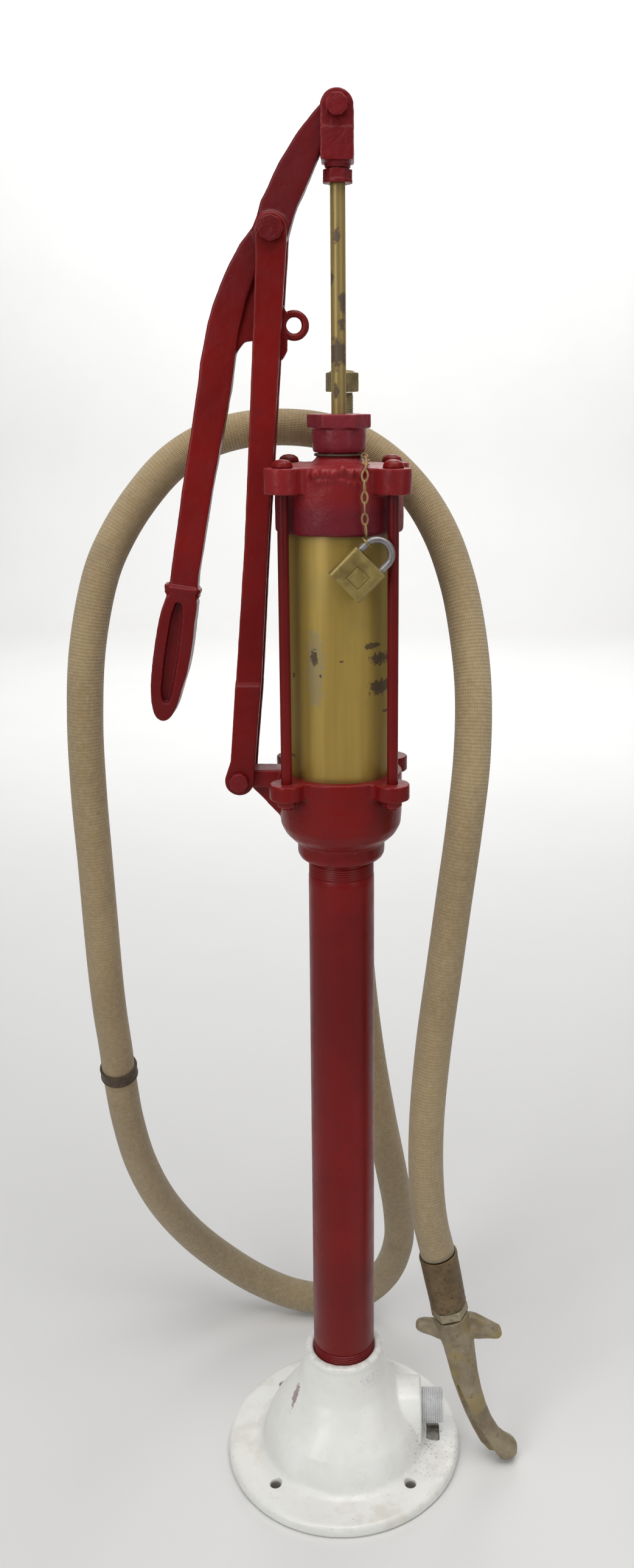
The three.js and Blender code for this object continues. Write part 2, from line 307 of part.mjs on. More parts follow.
// ---------- padlock on its chain ----------
{
  put("chain_collar", tube(22.3, 19, 996.7, 999.4, 18), OLD_BRASS);
  const path = new THREE.CatmullRomCurve3([[21.4, -9.4, 997.2], [23, -20, 995.6], [23.4, -36, 994.2], [23.2, -50, 993.4], [22.8, -58, 990.4], [22.4, -60.4, 984], [22.2, -60, 965], [22.4, -59, 948], [23.4, -57.6, 937.4]].map((p) => new THREE.Vector3(...p)));
  const s = new THREE.Shape([V(-1.5, -1.5), V(1.5, -1.5), V(1.5, 1.5), V(-1.5, 1.5)]);
  put("padlock_chain", solid(new THREE.ExtrudeGeometry(s, { steps: 16, extrudePath: path, bevelEnabled: false })), OLD_BRASS);

  const at = new THREE.Matrix4().makeRotationY(Math.PI / 4).setPosition(16, -57.2, 903);
  const place = (m, name, material) => {
    const mesh = m.getMesh();
    const g = new THREE.BufferGeometry();
    g.setAttribute("position", new THREE.BufferAttribute(new Float32Array(mesh.vertProperties), 3));
    g.setIndex(new THREE.BufferAttribute(new Uint32Array(mesh.triVerts), 1));
    g.applyMatrix4(at);
    const o = new THREE.Mesh(g, material);
    o.name = name;
    root.add(o);
  };
  let body = all(box(-14, 14, -7.8, 7.8, -16, 16), box(-18, 18, -4.5, 4.5, -16, 16), cylZ(4.5, -16, 16, -13.4, -3.3, 10), cylZ(4.5, -16, 16, 13.4, -3.3, 10), cylZ(4.5, -16, 16, -13.4, 3.3, 10), cylZ(4.5, -16, 16, 13.4, 3.3, 10));
  body = body.subtract(cylZ(3.6, -2, 17, -12.2, 0, 12)).subtract(cylZ(3.6, 8, 17, 12.2, 0, 12)).subtract(cylZ(4.5, -17, -13, 0, 0, 10));
  place(body, "padlock_body", BRASS);
  const bow = [];
  for (let i = 0; i <= 8; i++) bow.push(new THREE.Vector3(12.2 * Math.cos((i * Math.PI) / 8), 0, 23 + 12.2 * Math.sin((i * Math.PI) / 8)));
  const ring = new THREE.Shape();
  for (let i = 0; i < 8; i++) ring[i ? "lineTo" : "moveTo"](3.1 * Math.cos((i * Math.PI) / 4), 3.1 * Math.sin((i * Math.PI) / 4));
  ring.closePath();
  const curve = new THREE.CatmullRomCurve3([new THREE.Vector3(12.2, 0, 9), new THREE.Vector3(12.2, 0, 16), ...bow, new THREE.Vector3(-12.2, 0, 14), new THREE.Vector3(-12.2, 0, 6), new THREE.Vector3(-12.2, 0, -1)], false, "centripetal");
  place(solid(new THREE.ExtrudeGeometry(ring, { steps: 22, extrudePath: curve, bevelEnabled: false })), "padlock_shackle", STEEL);
}

export default root;
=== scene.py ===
# Looks of a double action hand pump on a pipe stand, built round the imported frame.
import math

import bmesh
import bpy
import numpy as np
from mathutils import Matrix, Vector, noise


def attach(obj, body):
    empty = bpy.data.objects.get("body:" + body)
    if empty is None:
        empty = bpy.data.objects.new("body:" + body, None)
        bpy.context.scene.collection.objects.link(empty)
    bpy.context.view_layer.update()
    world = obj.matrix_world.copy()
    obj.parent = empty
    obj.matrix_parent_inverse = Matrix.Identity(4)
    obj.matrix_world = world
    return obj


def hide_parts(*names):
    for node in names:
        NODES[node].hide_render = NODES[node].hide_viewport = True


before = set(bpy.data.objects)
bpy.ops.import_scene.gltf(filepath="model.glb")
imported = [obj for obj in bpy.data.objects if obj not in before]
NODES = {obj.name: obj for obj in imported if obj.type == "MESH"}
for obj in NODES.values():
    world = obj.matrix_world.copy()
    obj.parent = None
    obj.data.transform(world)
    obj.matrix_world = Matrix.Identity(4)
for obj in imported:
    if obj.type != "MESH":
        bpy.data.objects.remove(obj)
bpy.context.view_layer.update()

scene = bpy.context.scene
rad = math.radians

# ------------------------------------------------------------------ camera
cam_data = bpy.data.cameras.new("camera")
cam = bpy.data.objects.new("camera", cam_data)
scene.collection.objects.link(cam)
cam.location = (0.0285, -1.145, 1.052)
cam.rotation_euler = (rad(77.1), 0, 0)
cam_data.sensor_width = 36
cam_data.lens = 30.24
cam_data.shift_x = -0.0353
cam_data.shift_y = -0.0590
cam_data.clip_start = 0.02
scene.camera = cam
scene.view_settings.view_transform = "Standard"

# ------------------------------------------------------------------ shapes, in millimetres


def lathe(profile, seg=96, axis="Z", at=(0, 0, 0)):
    """A turned solid. The profile is (radius, height) pairs, from axis to axis, or a closed ring."""
    solid = profile[0][0] == 0 and profile[-1][0] == 0
    verts, faces, rings = [], [], []
    for r, h in [(p[0], p[1]) for p in profile]:
        if r == 0:
            verts.append((0.0, 0.0, h))
            rings.append([len(verts) - 1] * seg)
        else:
            base = len(verts)
            verts += [(r * math.cos(2 * math.pi * i / seg), r * math.sin(2 * math.pi * i / seg), h) for i in range(seg)]
            rings.append(list(range(base, base + seg)))
    pairs = list(zip(rings, rings[1:])) + ([] if solid else [(rings[-1], rings[0])])
    for a, b in pairs:
        for i in range(seg):
            j = (i + 1) % seg
            f = []
            for v in (a[i], a[j], b[j], b[i]):
                if v not in f:
                    f.append(v)
            if len(f) > 2:
                faces.append(f)
    v = np.array(verts, float)
    if axis == "X":
        v = v[:, [2, 0, 1]]
    elif axis == "Y":
        v = v[:, [0, 2, 1]]
    return v + np.array(at, float), faces


def cyl(r, a, b, axis="Z", at=(0, 0, 0), seg=64, r2=None, edge=0.0):
    r2 = r if r2 is None else r2
    prof = [(0, a), (r, a, edge), (r2, b, edge), (0, b)]
    return lathe(soft(prof) if edge else prof, seg, axis, at)


def soft(points, default=0.0, n=4, closed=False):
    """Rounds the corners of a line of points. A point's third number is its own radius."""
    out, m = [], len(points)
    for i, p in enumerate(points):
        r = p[2] if len(p) > 2 else default
        if (not closed and i in (0, m - 1)) or r <= 0:
            out.append((p[0], p[1]))
            continue
        a, b, c = Vector(points[i - 1][:2]), Vector(p[:2]), Vector(points[(i + 1) % m][:2])
        u, w = (a - b), (c - b)
        lu, lw = u.length, w.length
        if lu < 1e-6 or lw < 1e-6:
            continue
        u, w = u / lu, w / lw
        ang = math.acos(max(-1, min(1, u.dot(w))))
        if ang > rad(176):
            out.append((p[0], p[1]))
            continue
        t = min(r / math.tan(ang / 2), lu * 0.49, lw * 0.49)
        s, e = b + u * t, b + w * t
        for k in range(n + 1):
            q = k / n
            out.append(tuple((1 - q) ** 2 * s + 2 * q * (1 - q) * b + q * q * e))
    return out


def prism(outline, lo, hi, plane="XZ"):
    n = len(outline)
    o = np.array([p[:2] for p in outline], float)
    low, high = np.full((n, 1), float(lo)), np.full((n, 1), float(hi))
    if plane == "XZ":
        a, b = np.hstack([o[:, :1], low, o[:, 1:]]), np.hstack([o[:, :1], high, o[:, 1:]])
    elif plane == "XY":
        a, b = np.hstack([o, low]), np.hstack([o, high])
    else:
        a, b = np.hstack([low, o]), np.hstack([high, o])
    faces = [list(range(n)), list(range(2 * n - 1, n - 1, -1))]
    faces += [[i, n + i, n + (i + 1) % n, (i + 1) % n] for i in range(n)]
    return np.vstack([a, b]), faces


def box(x0, x1, y0, y1, z0, z1):
    return prism([(x0, y0), (x1, y0), (x1, y1), (x0, y1)], z0, z1, "XY")


def frames(path):
    p = np.array(path, float)
    t = np.gradient(p, axis=0)
    t /= np.linalg.norm(t, axis=1)[:, None]
    u = np.cross(t[0], [0.0, 1.0, 0.0])
    if np.linalg.norm(u) < 0.2:
        u = np.cross(t[0], [1.0, 0.0, 0.0])
    us = []
    for k in t:
        u = u - k * (u @ k)
        u = u / np.linalg.norm(u)
        us.append(u)
    us = np.array(us)
    return p, t, us, np.cross(t, us)


def swept(path, radii, seg=28, ends=True, flat=1.0):
    """A round bar along a path of points, with a radius for each."""
    p, t, u, w = frames(path)
    r = np.broadcast_to(np.array(radii, float), (len(p),))
    verts, faces = [], []
    for i in range(len(p)):
        for k in range(seg):
            a = 2 * math.pi * k / seg
            verts.append(p[i] + r[i] * (math.cos(a) * u[i] + flat * math.sin(a) * w[i]))
    for i in range(len(p) - 1):
        for k in range(seg):
            j = (k + 1) % seg
            faces.append([i * seg + k, i * seg + j, (i + 1) * seg + j, (i + 1) * seg + k])
    if ends:
        faces.append(list(range(seg))[::-1])
        faces.append([(len(p) - 1) * seg + k for k in range(seg)])
    return np.array(verts), faces


def torus(R, r, axis="Y", at=(0, 0, 0), seg=64, ring=20, squash=1.0):
    prof = [(R + r * math.cos(2 * math.pi * i / ring), squash * r * math.sin(2 * math.pi * i / ring)) for i in range(ring)]
    return lathe(prof, seg, axis, at)


def hexagon(r, a, b, axis="Z", at=(0, 0, 0), turn=0.0, cham=0.8, sides=6):
    """A nut body: the hexagonal prism, with square ends."""
    v, f = lathe([(0, a), (r, a), (r, b), (0, b)], sides, axis, (0, 0, 0))
    c, s = math.cos(turn), math.sin(turn)
    i, j = {"Z": (0, 1), "X": (1, 2), "Y": (0, 2)}[axis]
    x, y = v[:, i].copy(), v[:, j].copy()
    v[:, i], v[:, j] = c * x - s * y, s * x + c * y
    return v + np.array(at, float), f


def joined(shapes):
    verts, faces, k = [], [], 0
    for v, f in shapes:
        verts.append(np.asarray(v, float))
        faces += [[i + k for i in face] for face in f]
        k += len(v)
    return np.vstack(verts), faces


def raw(name, shapes):
    v, f = joined(shapes if isinstance(shapes, list) else [shapes])
    me = bpy.data.meshes.new(name)
    me.from_pydata([tuple(p) for p in (v * 0.001)], [], f)
    bm = bmesh.new()
    bm.from_mesh(me)
    bmesh.ops.recalc_face_normals(bm, faces=bm.faces)
    bm.to_mesh(me)
    bm.free()
    ob = bpy.data.objects.new(name, me)
    scene.collection.objects.link(ob)
    return ob


def bake(ob):
    dg = bpy.context.evaluated_depsgraph_get()
    me = bpy.data.meshes.new_from_object(ob.evaluated_get(dg))
    old = ob.data
    ob.modifiers.clear()
    ob.data = me
    bpy.data.meshes.remove(old)
    return ob


def remesh(ob, voxel):
    m = ob.modifiers.new("remesh", "REMESH")
    m.mode = "VOXEL"
    m.voxel_size = voxel * 0.001
    m.adaptivity = 0
    return bake(ob)


def relax(ob, iterations, factor=0.5):
    m = ob.modifiers.new("smooth", "SMOOTH")
    m.factor = factor
    m.iterations = iterations
    return bake(ob)


def cut(ob, shapes, how="DIFFERENCE"):
    for s in shapes:
        tool = raw("cutter", s)
        m = ob.modifiers.new("cut", "BOOLEAN")
        m.operation = how
        m.solver = "EXACT"
        m.object = tool
        bake(ob)
        bpy.data.objects.remove(tool)
    return ob


def bevel(ob, width, segments=3, angle=32):
    m = ob.modifiers.new("bevel", "BEVEL")
    m.width = width * 0.001
    m.segments = segments
    m.limit_method = "ANGLE"
    m.angle_limit = rad(angle)
    m.use_clamp_overlap = True
    return bake(ob)


def lumpy(ob, amount, size, seed=0.0, where=None):
    """Moves the surface in and out a little, as a sand casting is."""
    me = ob.data
    n = len(me.vertices)
    co, no = np.zeros(n * 3), np.zeros(n * 3)
    me.vertices.foreach_get("co", co)
    me.vertex_normals.foreach_get("vector", no)
    co, no = co.reshape(-1, 3), no.reshape(-1, 3)
    off = Vector((seed, seed * 1.7, -seed))
    k = 1000.0 / size
    d = np.array([noise.noise(Vector(c) * k + off) + 0.4 * noise.noise(Vector(c) * k * 2.7 + off) for c in co])
    if where is not None:
        d *= where(co * 1000)
    me.vertices.foreach_set("co", (co + no * (d * amount * 0.001)[:, None]).ravel())
    me.update()
    return ob


def finish_piece(ob, body, mat, replaces=(), sharp=35):
    me = ob.data
    bm = bmesh.new()
    bm.from_mesh(me)
    for _ in range(3):
        rim = [e for e in bm.edges if not e.is_manifold]
        if not rim:
            break
        bmesh.ops.remove_doubles(bm, verts=list({v for e in rim for v in e.verts}), dist=2e-5)
        bmesh.ops.dissolve_degenerate(bm, edges=[e for e in bm.edges if not e.is_manifold], dist=1e-6)
        bmesh.ops.holes_fill(bm, edges=[e for e in bm.edges if e.is_boundary], sides=12)
        bmesh.ops.delete(bm, geom=[e for e in bm.edges if not e.link_faces], context="EDGES")
        bmesh.ops.delete(bm, geom=[v for v in bm.verts if not v.link_faces], context="VERTS")
        bm.to_mesh(me)
    bm.free()
    me.materials.clear()
    me.materials.append(mat)
    for p in me.polygons:
        p.use_smooth = True
    if sharp:
        me.set_sharp_from_angle(angle=rad(sharp))
    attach(ob, body)
    if replaces:
        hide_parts(*replaces)
    return ob


def piece(name, shapes, body, mat, replaces=(), voxel=None, smooth=0, early=(), late=(), bev=None, lumps=None, sharp=35):
    ob = raw(name, shapes)
    if voxel:
        remesh(ob, voxel)
        if early:
            cut(ob, early)
            remesh(ob, voxel)
        if smooth:
            relax(ob, smooth)
        if lumps:
            lumpy(ob, *lumps)
        if late:
            cut(ob, late)
    else:
        if late:
            cut(ob, late)
        if bev:
            bevel(ob, *bev)
    return finish_piece(ob, body, mat, replaces, sharp)


# ------------------------------------------------------------------ materials


class Mat:
    def __init__(self, name):
        self.m = bpy.data.materials.new(name)
        self.m.use_nodes = True
        self.nt = self.m.node_tree
        self.bsdf = self.nt.nodes["Principled BSDF"]
        self.obj = self.new("ShaderNodeTexCoord").outputs["Object"]
        self.heights = []

    def new(self, kind, **kw):
        n = self.nt.nodes.new(kind)
        for k, v in kw.items():
            setattr(n, k, v)
        return n

    def put(self, socket, value):
        if isinstance(value, bpy.types.NodeSocket):
            self.nt.links.new(value, socket)
        elif isinstance(value, (tuple, list)) and len(value) == 3 and socket.type == "RGBA":
            socket.default_value = (*value, 1)
        else:
            socket.default_value = value

    def noise(self, scale, detail=4, rough=0.55, warp=0.0, vec=None, offset=None, stretch=None):
        v = self.obj if vec is None else vec
        if stretch or offset:
            mp = self.new("ShaderNodeMapping")
            self.put(mp.inputs["Vector"], v)
            if stretch:
                mp.inputs["Scale"].default_value = stretch
            if offset:
                mp.inputs["Location"].default_value = offset
            v = mp.outputs["Vector"]
        n = self.new("ShaderNodeTexNoise")
        self.put(n.inputs["Vector"], v)
        n.inputs["Scale"].default_value = scale
        n.inputs["Detail"].default_value = detail
        n.inputs["Roughness"].default_value = rough
        n.inputs["Distortion"].default_value = warp
        return n.outputs["Fac"]

    def voronoi(self, scale, feature="F1", rnd=1.0):
        n = self.new("ShaderNodeTexVoronoi", feature=feature)
        self.put(n.inputs["Vector"], self.obj)
        n.inputs["Scale"].default_value = scale
        n.inputs["Randomness"].default_value = rnd
        return n.outputs["Distance"]

    def span(self, value, lo, hi, a=0.0, b=1.0, smooth=True):
        n = self.new("ShaderNodeMapRange")
        n.interpolation_type = "SMOOTHSTEP" if smooth else "LINEAR"
        n.clamp = True
        self.put(n.inputs["Value"], value)
        for k, v in (("From Min", lo), ("From Max", hi), ("To Min", a), ("To Max", b)):
            n.inputs[k].default_value = v
        return n.outputs["Result"]

    def math(self, op, a, b=0.0, c=None, clamp=False):
        n = self.new("ShaderNodeMath", operation=op, use_clamp=clamp)
        self.put(n.inputs[0], a)
        self.put(n.inputs[1], b)
        if c is not None:
            self.put(n.inputs[2], c)
        return n.outputs[0]

    def mix(self, fac, a, b, mode="MIX"):
        n = self.new("ShaderNodeMix", data_type="RGBA", blend_type=mode)
        self.put(n.inputs[0], fac)
        self.put(n.inputs[6], a)
        self.put(n.inputs[7], b)
        return n.outputs[2]

    def xyz(self, vec=None):
        n = self.new("ShaderNodeSeparateXYZ")
        self.put(n.inputs[0], self.obj if vec is None else vec)
        return n.outputs[0], n.outputs[1], n.outputs[2]

    def pointy(self, lo, hi):
        return self.span(self.new("ShaderNodeNewGeometry").outputs["Pointiness"], lo, hi)

    def up(self, lo=0.5, hi=1.0):
        """How far a face looks up."""
        n = self.new("ShaderNodeSeparateXYZ")
        self.put(n.inputs[0], self.new("ShaderNodeNewGeometry").outputs["Normal"])
        return self.span(n.outputs[2], lo, hi)

    def bump(self, height, strength, distance):
        self.heights.append((height, strength, distance))

    def blot(self, cx, cz, rx, rz, wobble, soft_edge=0.5, y_front=True, slant=0.0):
        """A patch on the front of the object, round (cx, cz), metres."""
        x, y, z = self.xyz()
        if slant:
            x = self.math("SUBTRACT", x, self.math("MULTIPLY", self.math("SUBTRACT", z, cz), slant))
        dx = self.math("DIVIDE", self.math("SUBTRACT", x, cx), rx)
        dz = self.math("DIVIDE", self.math("SUBTRACT", z, cz), rz)
        d = self.math("SQRT", self.math("ADD", self.math("MULTIPLY", dx, dx), self.math("MULTIPLY", dz, dz)))
        d = self.math("ADD", d, self.math("MULTIPLY", self.math("SUBTRACT", wobble, 0.5), 2.2))
        m = self.span(d, 1.0, 1.0 - soft_edge)
        if y_front:
            m = self.math("MULTIPLY", m, self.span(y, 0.0, -0.004))
        return m

    def done(self, color=None, rough=None, metal=None, coat=None, coat_rough=None, spec=None, sheen=None):
        b = self.bsdf.inputs
        if color is not None:
            self.put(b["Base Color"], color)
        if rough is not None:
            self.put(b["Roughness"], rough)
        if metal is not None:
            self.put(b["Metallic"], metal)
        if coat is not None:
            b["Coat Weight"].default_value = coat
            b["Coat Roughness"].default_value = coat_rough if coat_rough is not None else 0.12
        if spec is not None:
            b["Specular IOR Level"].default_value = spec
        if sheen is not None:
            b["Sheen Weight"].default_value = sheen
            b["Sheen Roughness"].default_value = 0.6
        last = None
        for h, s, d in self.heights:
            n = self.new("ShaderNodeBump")
            n.inputs["Strength"].default_value = s
            n.inputs["Distance"].default_value = d
            self.put(n.inputs["Height"], h)
            if last is not None:
                self.put(n.inputs["Normal"], last)
            last = n.outputs["Normal"]
        if last is not None:
            self.put(b["Normal"], last)
        return self.m


def red_paint(name, cast=1.0, seed=0.0, chips=0.0, low=(0.132, 0.0028, 0.0024), high=(0.188, 0.0050, 0.0043), upper=False, apron=False):
    m = Mat(name)
    o = (seed, seed * 0.6, -seed)
    big = m.noise(9, 3, 0.5, offset=o)
    mid = m.noise(55, 5, 0.6, offset=o)
    fine = m.noise(900, 3, 0.6)
    col = m.mix(m.span(big, 0.32, 0.68), low, high)
    col = m.mix(m.span(mid, 0.5, 0.75, 0, 0.45), col, (0.125, 0.0055, 0.0075))
    z = m.xyz()[2]
    if upper:
        col = m.mix(m.span(z, 1.10, 1.19, 0, 0.62), col, (0.088, 0.0075, 0.0115))
        col = m.mix(m.span(z, 0.93, 0.86, 0, 0.4), col, (0.105, 0.0060, 0.0090))
    if apron:
        col = m.mix(m.span(z, 0.966, 0.950, 0, 0.75), col, (0.118, 0.0105, 0.0195))
    # painted shade in the hollows, and a little wear on the edges
    col = m.mix(m.math("MULTIPLY", m.pointy(0.495, 0.43), 0.8), col, (0.055, 0.0035, 0.005))
    col = m.mix(m.math("MULTIPLY", m.pointy(0.515, 0.59), 0.55), col, (0.34, 0.045, 0.045))
    # dust on the faces that look up, which also lightens them as a painted highlight
    dust_and_sheen = m.math("MULTIPLY", m.up(0.45, 0.95), m.span(m.noise(70, 6, 0.7, offset=o), 0.35, 0.75, 0.05, 0.5))
    col = m.mix(dust_and_sheen, col, (0.26, 0.05, 0.058))
    specks = m.math("MULTIPLY", m.span(m.noise(420, 2, 0.5, offset=o), 0.70, 0.76), m.span(m.noise(30, 3, 0.5, offset=o), 0.5, 0.62))
    col = m.mix(m.math("MULTIPLY", specks, 0.55 + chips), col, (0.05, 0.022, 0.018))
    nick = m.math("MULTIPLY", m.span(m.noise(260, 3, 0.6, offset=(seed + 4, 1, 2)), 0.70, 0.735), m.span(m.noise(22, 2, 0.5, offset=(seed, 3, 1)), 0.55, 0.66))
    col = m.mix(m.math("MULTIPLY", nick, 0.5), col, (0.42, 0.12, 0.11))
    rough = m.math("ADD", m.span(mid, 0.3, 0.75, 0.30, 0.44), m.math("MULTIPLY", dust_and_sheen, 0.3))
    m.bump(m.noise(130, 4, 0.6, offset=o), 0.55 * cast, 0.0011)
    m.bump(m.noise(420, 3, 0.55, offset=o), 0.35 * cast, 0.0004)
    m.bump(fine, 0.12, 0.00012)
    return m.done(col, rough, 0.0, 0.04, 0.14, 0.19)


RED = red_paint("red_paint_castings", 1.0, 0.0)
RED_SMOOTH = red_paint("red_paint_bars", 0.45, 2.3)
RED_LEVER = red_paint("red_paint_lever", 0.5, 2.3, 0.0, upper=True)
RED_PIPE = red_paint("red_paint_pipe", 0.28, 5.1)
RED_ROUGH = red_paint("red_paint_rough", 1.5, 7.7, 0.3, (0.112, 0.0050, 0.0065), (0.170, 0.0085, 0.0110))
# the head's red, made lighter and pinker as a painted highlight and reflection on its top
RED_TOP_REFLECTION = red_paint("red_paint_head_reflection", 1.15, 11.0, 0.1, (0.172, 0.0080, 0.0090), (0.240, 0.0150, 0.0170), apron=True)
# the gland nut's red, made lighter and pinker as a painted reflection of the pale room
RED_GLAND_REFLECTION = red_paint("red_paint_gland_reflection", 1.0, 13.0, 0.1, (0.160, 0.0150, 0.0230), (0.215, 0.0230, 0.0340))


def white_paint():
    m = Mat("white_paint")
    x, y, z = m.xyz()
    big, mid = m.noise(14, 4, 0.55), m.noise(70, 5, 0.6)
    col = m.mix(m.span(big, 0.3, 0.7), (0.80, 0.795, 0.745), (0.875, 0.875, 0.845))
    col = m.mix(m.span(mid, 0.5, 0.8, 0, 0.3), col, (0.66, 0.64, 0.58))
    # grime where the flange meets the bell, round the nipple and in the hollows
    col = m.mix(m.math("MULTIPLY", m.pointy(0.497, 0.44), 0.65), col, (0.36, 0.32, 0.25))
    near = m.math("ADD", m.math("POWER", m.math("SUBTRACT", x, 0.088), 2), m.math("ADD", m.math("POWER", m.math("ADD", y, 0.02), 2), m.math("POWER", m.math("SUBTRACT", z, 0.016), 2)))
    near = m.span(m.math("SQRT", near), 0.052, 0.006)
    grit = m.span(m.noise(330, 4, 0.65), 0.56, 0.66)
    col = m.mix(m.math("MULTIPLY", m.math("MULTIPLY", near, grit), 0.8), col, (0.17, 0.14, 0.10))
    flange = m.span(z, 0.022, 0.012)
    speck = m.math("MULTIPLY", m.span(m.noise(520, 2, 0.5), 0.71, 0.75), m.span(m.noise(35, 3, 0.5), 0.42, 0.6, 0.25, 1.0))
    col = m.mix(m.math("MULTIPLY", speck, m.math("ADD", m.math("MULTIPLY", flange, 0.5), 0.35)), col, (0.10, 0.075, 0.05))
    tint = m.math("MULTIPLY", flange, m.span(m.noise(26, 5, 0.6), 0.48, 0.72, 0, 0.5))
    col = m.mix(tint, col, (0.60, 0.55, 0.46))
    # a scuff of red on the left of the neck, and a purplish painted shadow on the right
    scuff = m.blot(-0.0480, 0.073, 0.0019, 0.0115, m.noise(210, 3, 0.6), 0.35, True, 0.42)
    col = m.mix(m.math("MULTIPLY", scuff, 0.7), col, (0.20, 0.06, 0.10))
    # painted shade inside the four bolt holes, darker further down
    hx = m.math("SUBTRACT", m.math("ABSOLUTE", x), 0.06576)
    hy = m.math("SUBTRACT", m.math("ABSOLUTE", y), 0.06576)
    hole_shade = m.span(m.math("SQRT", m.math("ADD", m.math("MULTIPLY", hx, hx), m.math("MULTIPLY", hy, hy))), 0.0064, 0.0050)
    col = m.mix(m.math("MULTIPLY", hole_shade, m.span(z, 0.0125, 0.009, 0.25, 0.9)), col, (0.16, 0.14, 0.11))
    # patchy painted shade in the pocket under the nipple
    pocket_shade = m.math("MULTIPLY", m.math("MULTIPLY", m.span(z, 0.0112, 0.0085), m.span(m.math("ABSOLUTE", y), 0.0145, 0.0125)), m.math("MULTIPLY", m.span(x, 0.079, 0.081), m.span(x, 0.0985, 0.0965)))
    col = m.mix(m.math("MULTIPLY", pocket_shade, m.span(m.noise(260, 4, 0.65), 0.3, 0.6, 0.3, 0.9)), col, (0.20, 0.175, 0.13))
    # the purplish painted shadow on the right of the neck
    purple_shadow = m.math("MULTIPLY", m.blot(0.024, 0.102, 0.013, 0.007, m.noise(160, 4, 0.7), 0.9), m.span(m.noise(300, 3, 0.6), 0.45, 0.65))
    col = m.mix(m.math("MULTIPLY", purple_shadow, 0.5), col, (0.42, 0.36, 0.48))
    rim = m.math("MULTIPLY", m.span(z, 0.1145, 0.1165), m.span(m.noise(120, 4, 0.6), 0.4, 0.62))
    col = m.mix(m.math("MULTIPLY", rim, 0.35), col, (0.42, 0.40, 0.36))
    m.bump(m.noise(60, 4, 0.6), 0.35, 0.0012)
    m.bump(m.noise(300, 4, 0.6), 0.3, 0.00035)
    m.bump(m.math("MULTIPLY", speck, -1.0), 0.6, 0.0004)
    return m.done(col, m.span(mid, 0.3, 0.8, 0.30, 0.46), 0.0, 0.2, 0.2, 0.5)


def brass_cylinder():
    m = Mat("brass_cylinder_dull")
    x, y, z = m.xyz()
    streak = m.noise(60, 5, 0.6, stretch=(1, 1, 0.05))
    fine = m.noise(900, 3, 0.6, stretch=(1, 1, 0.02))
    big = m.noise(18, 4, 0.6)
    col = m.mix(m.span(streak, 0.3, 0.7), (0.335, 0.220, 0.044), (0.42, 0.290, 0.064))
    col = m.mix(m.span(big, 0.5, 0.75, 0, 0.5), col, (0.29, 0.215, 0.060))
    # painted shade on the left and right flanks of the barrel, as seen from the front
    side = m.math("ABSOLUTE", x)
    col = m.mix(m.span(side, 0.022, 0.045, 0, 0.55), col, (0.15, 0.10, 0.026))
    w1, w2 = m.noise(150, 4, 0.6), m.noise(260, 4, 0.65, offset=(3, 1, 2))
    grey = m.blot(-0.0205, 0.822, 0.0085, 0.042, w1, 0.35)
    col = m.mix(m.math("MULTIPLY", grey, 0.55), col, (0.25, 0.215, 0.135))
    dark = None
    for cx, cz, rx, rz in ((0.0350, 0.8265, 0.0092, 0.0062), (0.0345, 0.8015, 0.0100, 0.0080), (0.0285, 0.8385, 0.0085, 0.0032), (-0.0215, 0.8290, 0.0038, 0.0075), (0.040, 0.779, 0.004, 0.0016), (-0.0395, 0.8105, 0.0014, 0.0030), (-0.016, 0.8135, 0.0016, 0.0016), (0.0025, 0.8265, 0.0022, 0.0011), (-0.042, 0.7375, 0.0042, 0.0016), (0.044, 0.7395, 0.0020, 0.0040), (0.0445, 0.868, 0.0012, 0.006)):
        b = m.blot(cx, cz, rx, rz, w2, 0.35)
        dark = b if dark is None else m.math("MAXIMUM", dark, b)
    col = m.mix(m.math("MULTIPLY", dark, 0.88), col, (0.048, 0.030, 0.018))
    # stains round the back, and tarnish next to the castings
    back = m.math("MULTIPLY", m.span(y, 0.0, 0.01), m.span(m.noise(45, 5, 0.65, offset=(5, 2, 8)), 0.58, 0.68))
    col = m.mix(m.math("MULTIPLY", back, 0.7), col, (0.09, 0.055, 0.025))
    near = m.math("MAXIMUM", m.span(z, 0.724, 0.717), m.span(z, 0.926, 0.934))
    col = m.mix(m.math("MULTIPLY", near, 0.5), col, (0.12, 0.07, 0.03))
    rough = m.math("ADD", m.span(streak, 0.3, 0.7, 0.36, 0.46), m.math("MULTIPLY", dark, 0.3))
    m.bump(fine, 0.14, 0.00012)
    m.bump(m.noise(240, 3, 0.5), 0.10, 0.0002)
    m.bump(m.math("MULTIPLY", dark, -1.0), 0.35, 0.00025)
    metal = m.math("SUBTRACT", 0.36, m.math("MULTIPLY", dark, 0.3))
    return m.done(col, rough, metal, None, None, 0.45)


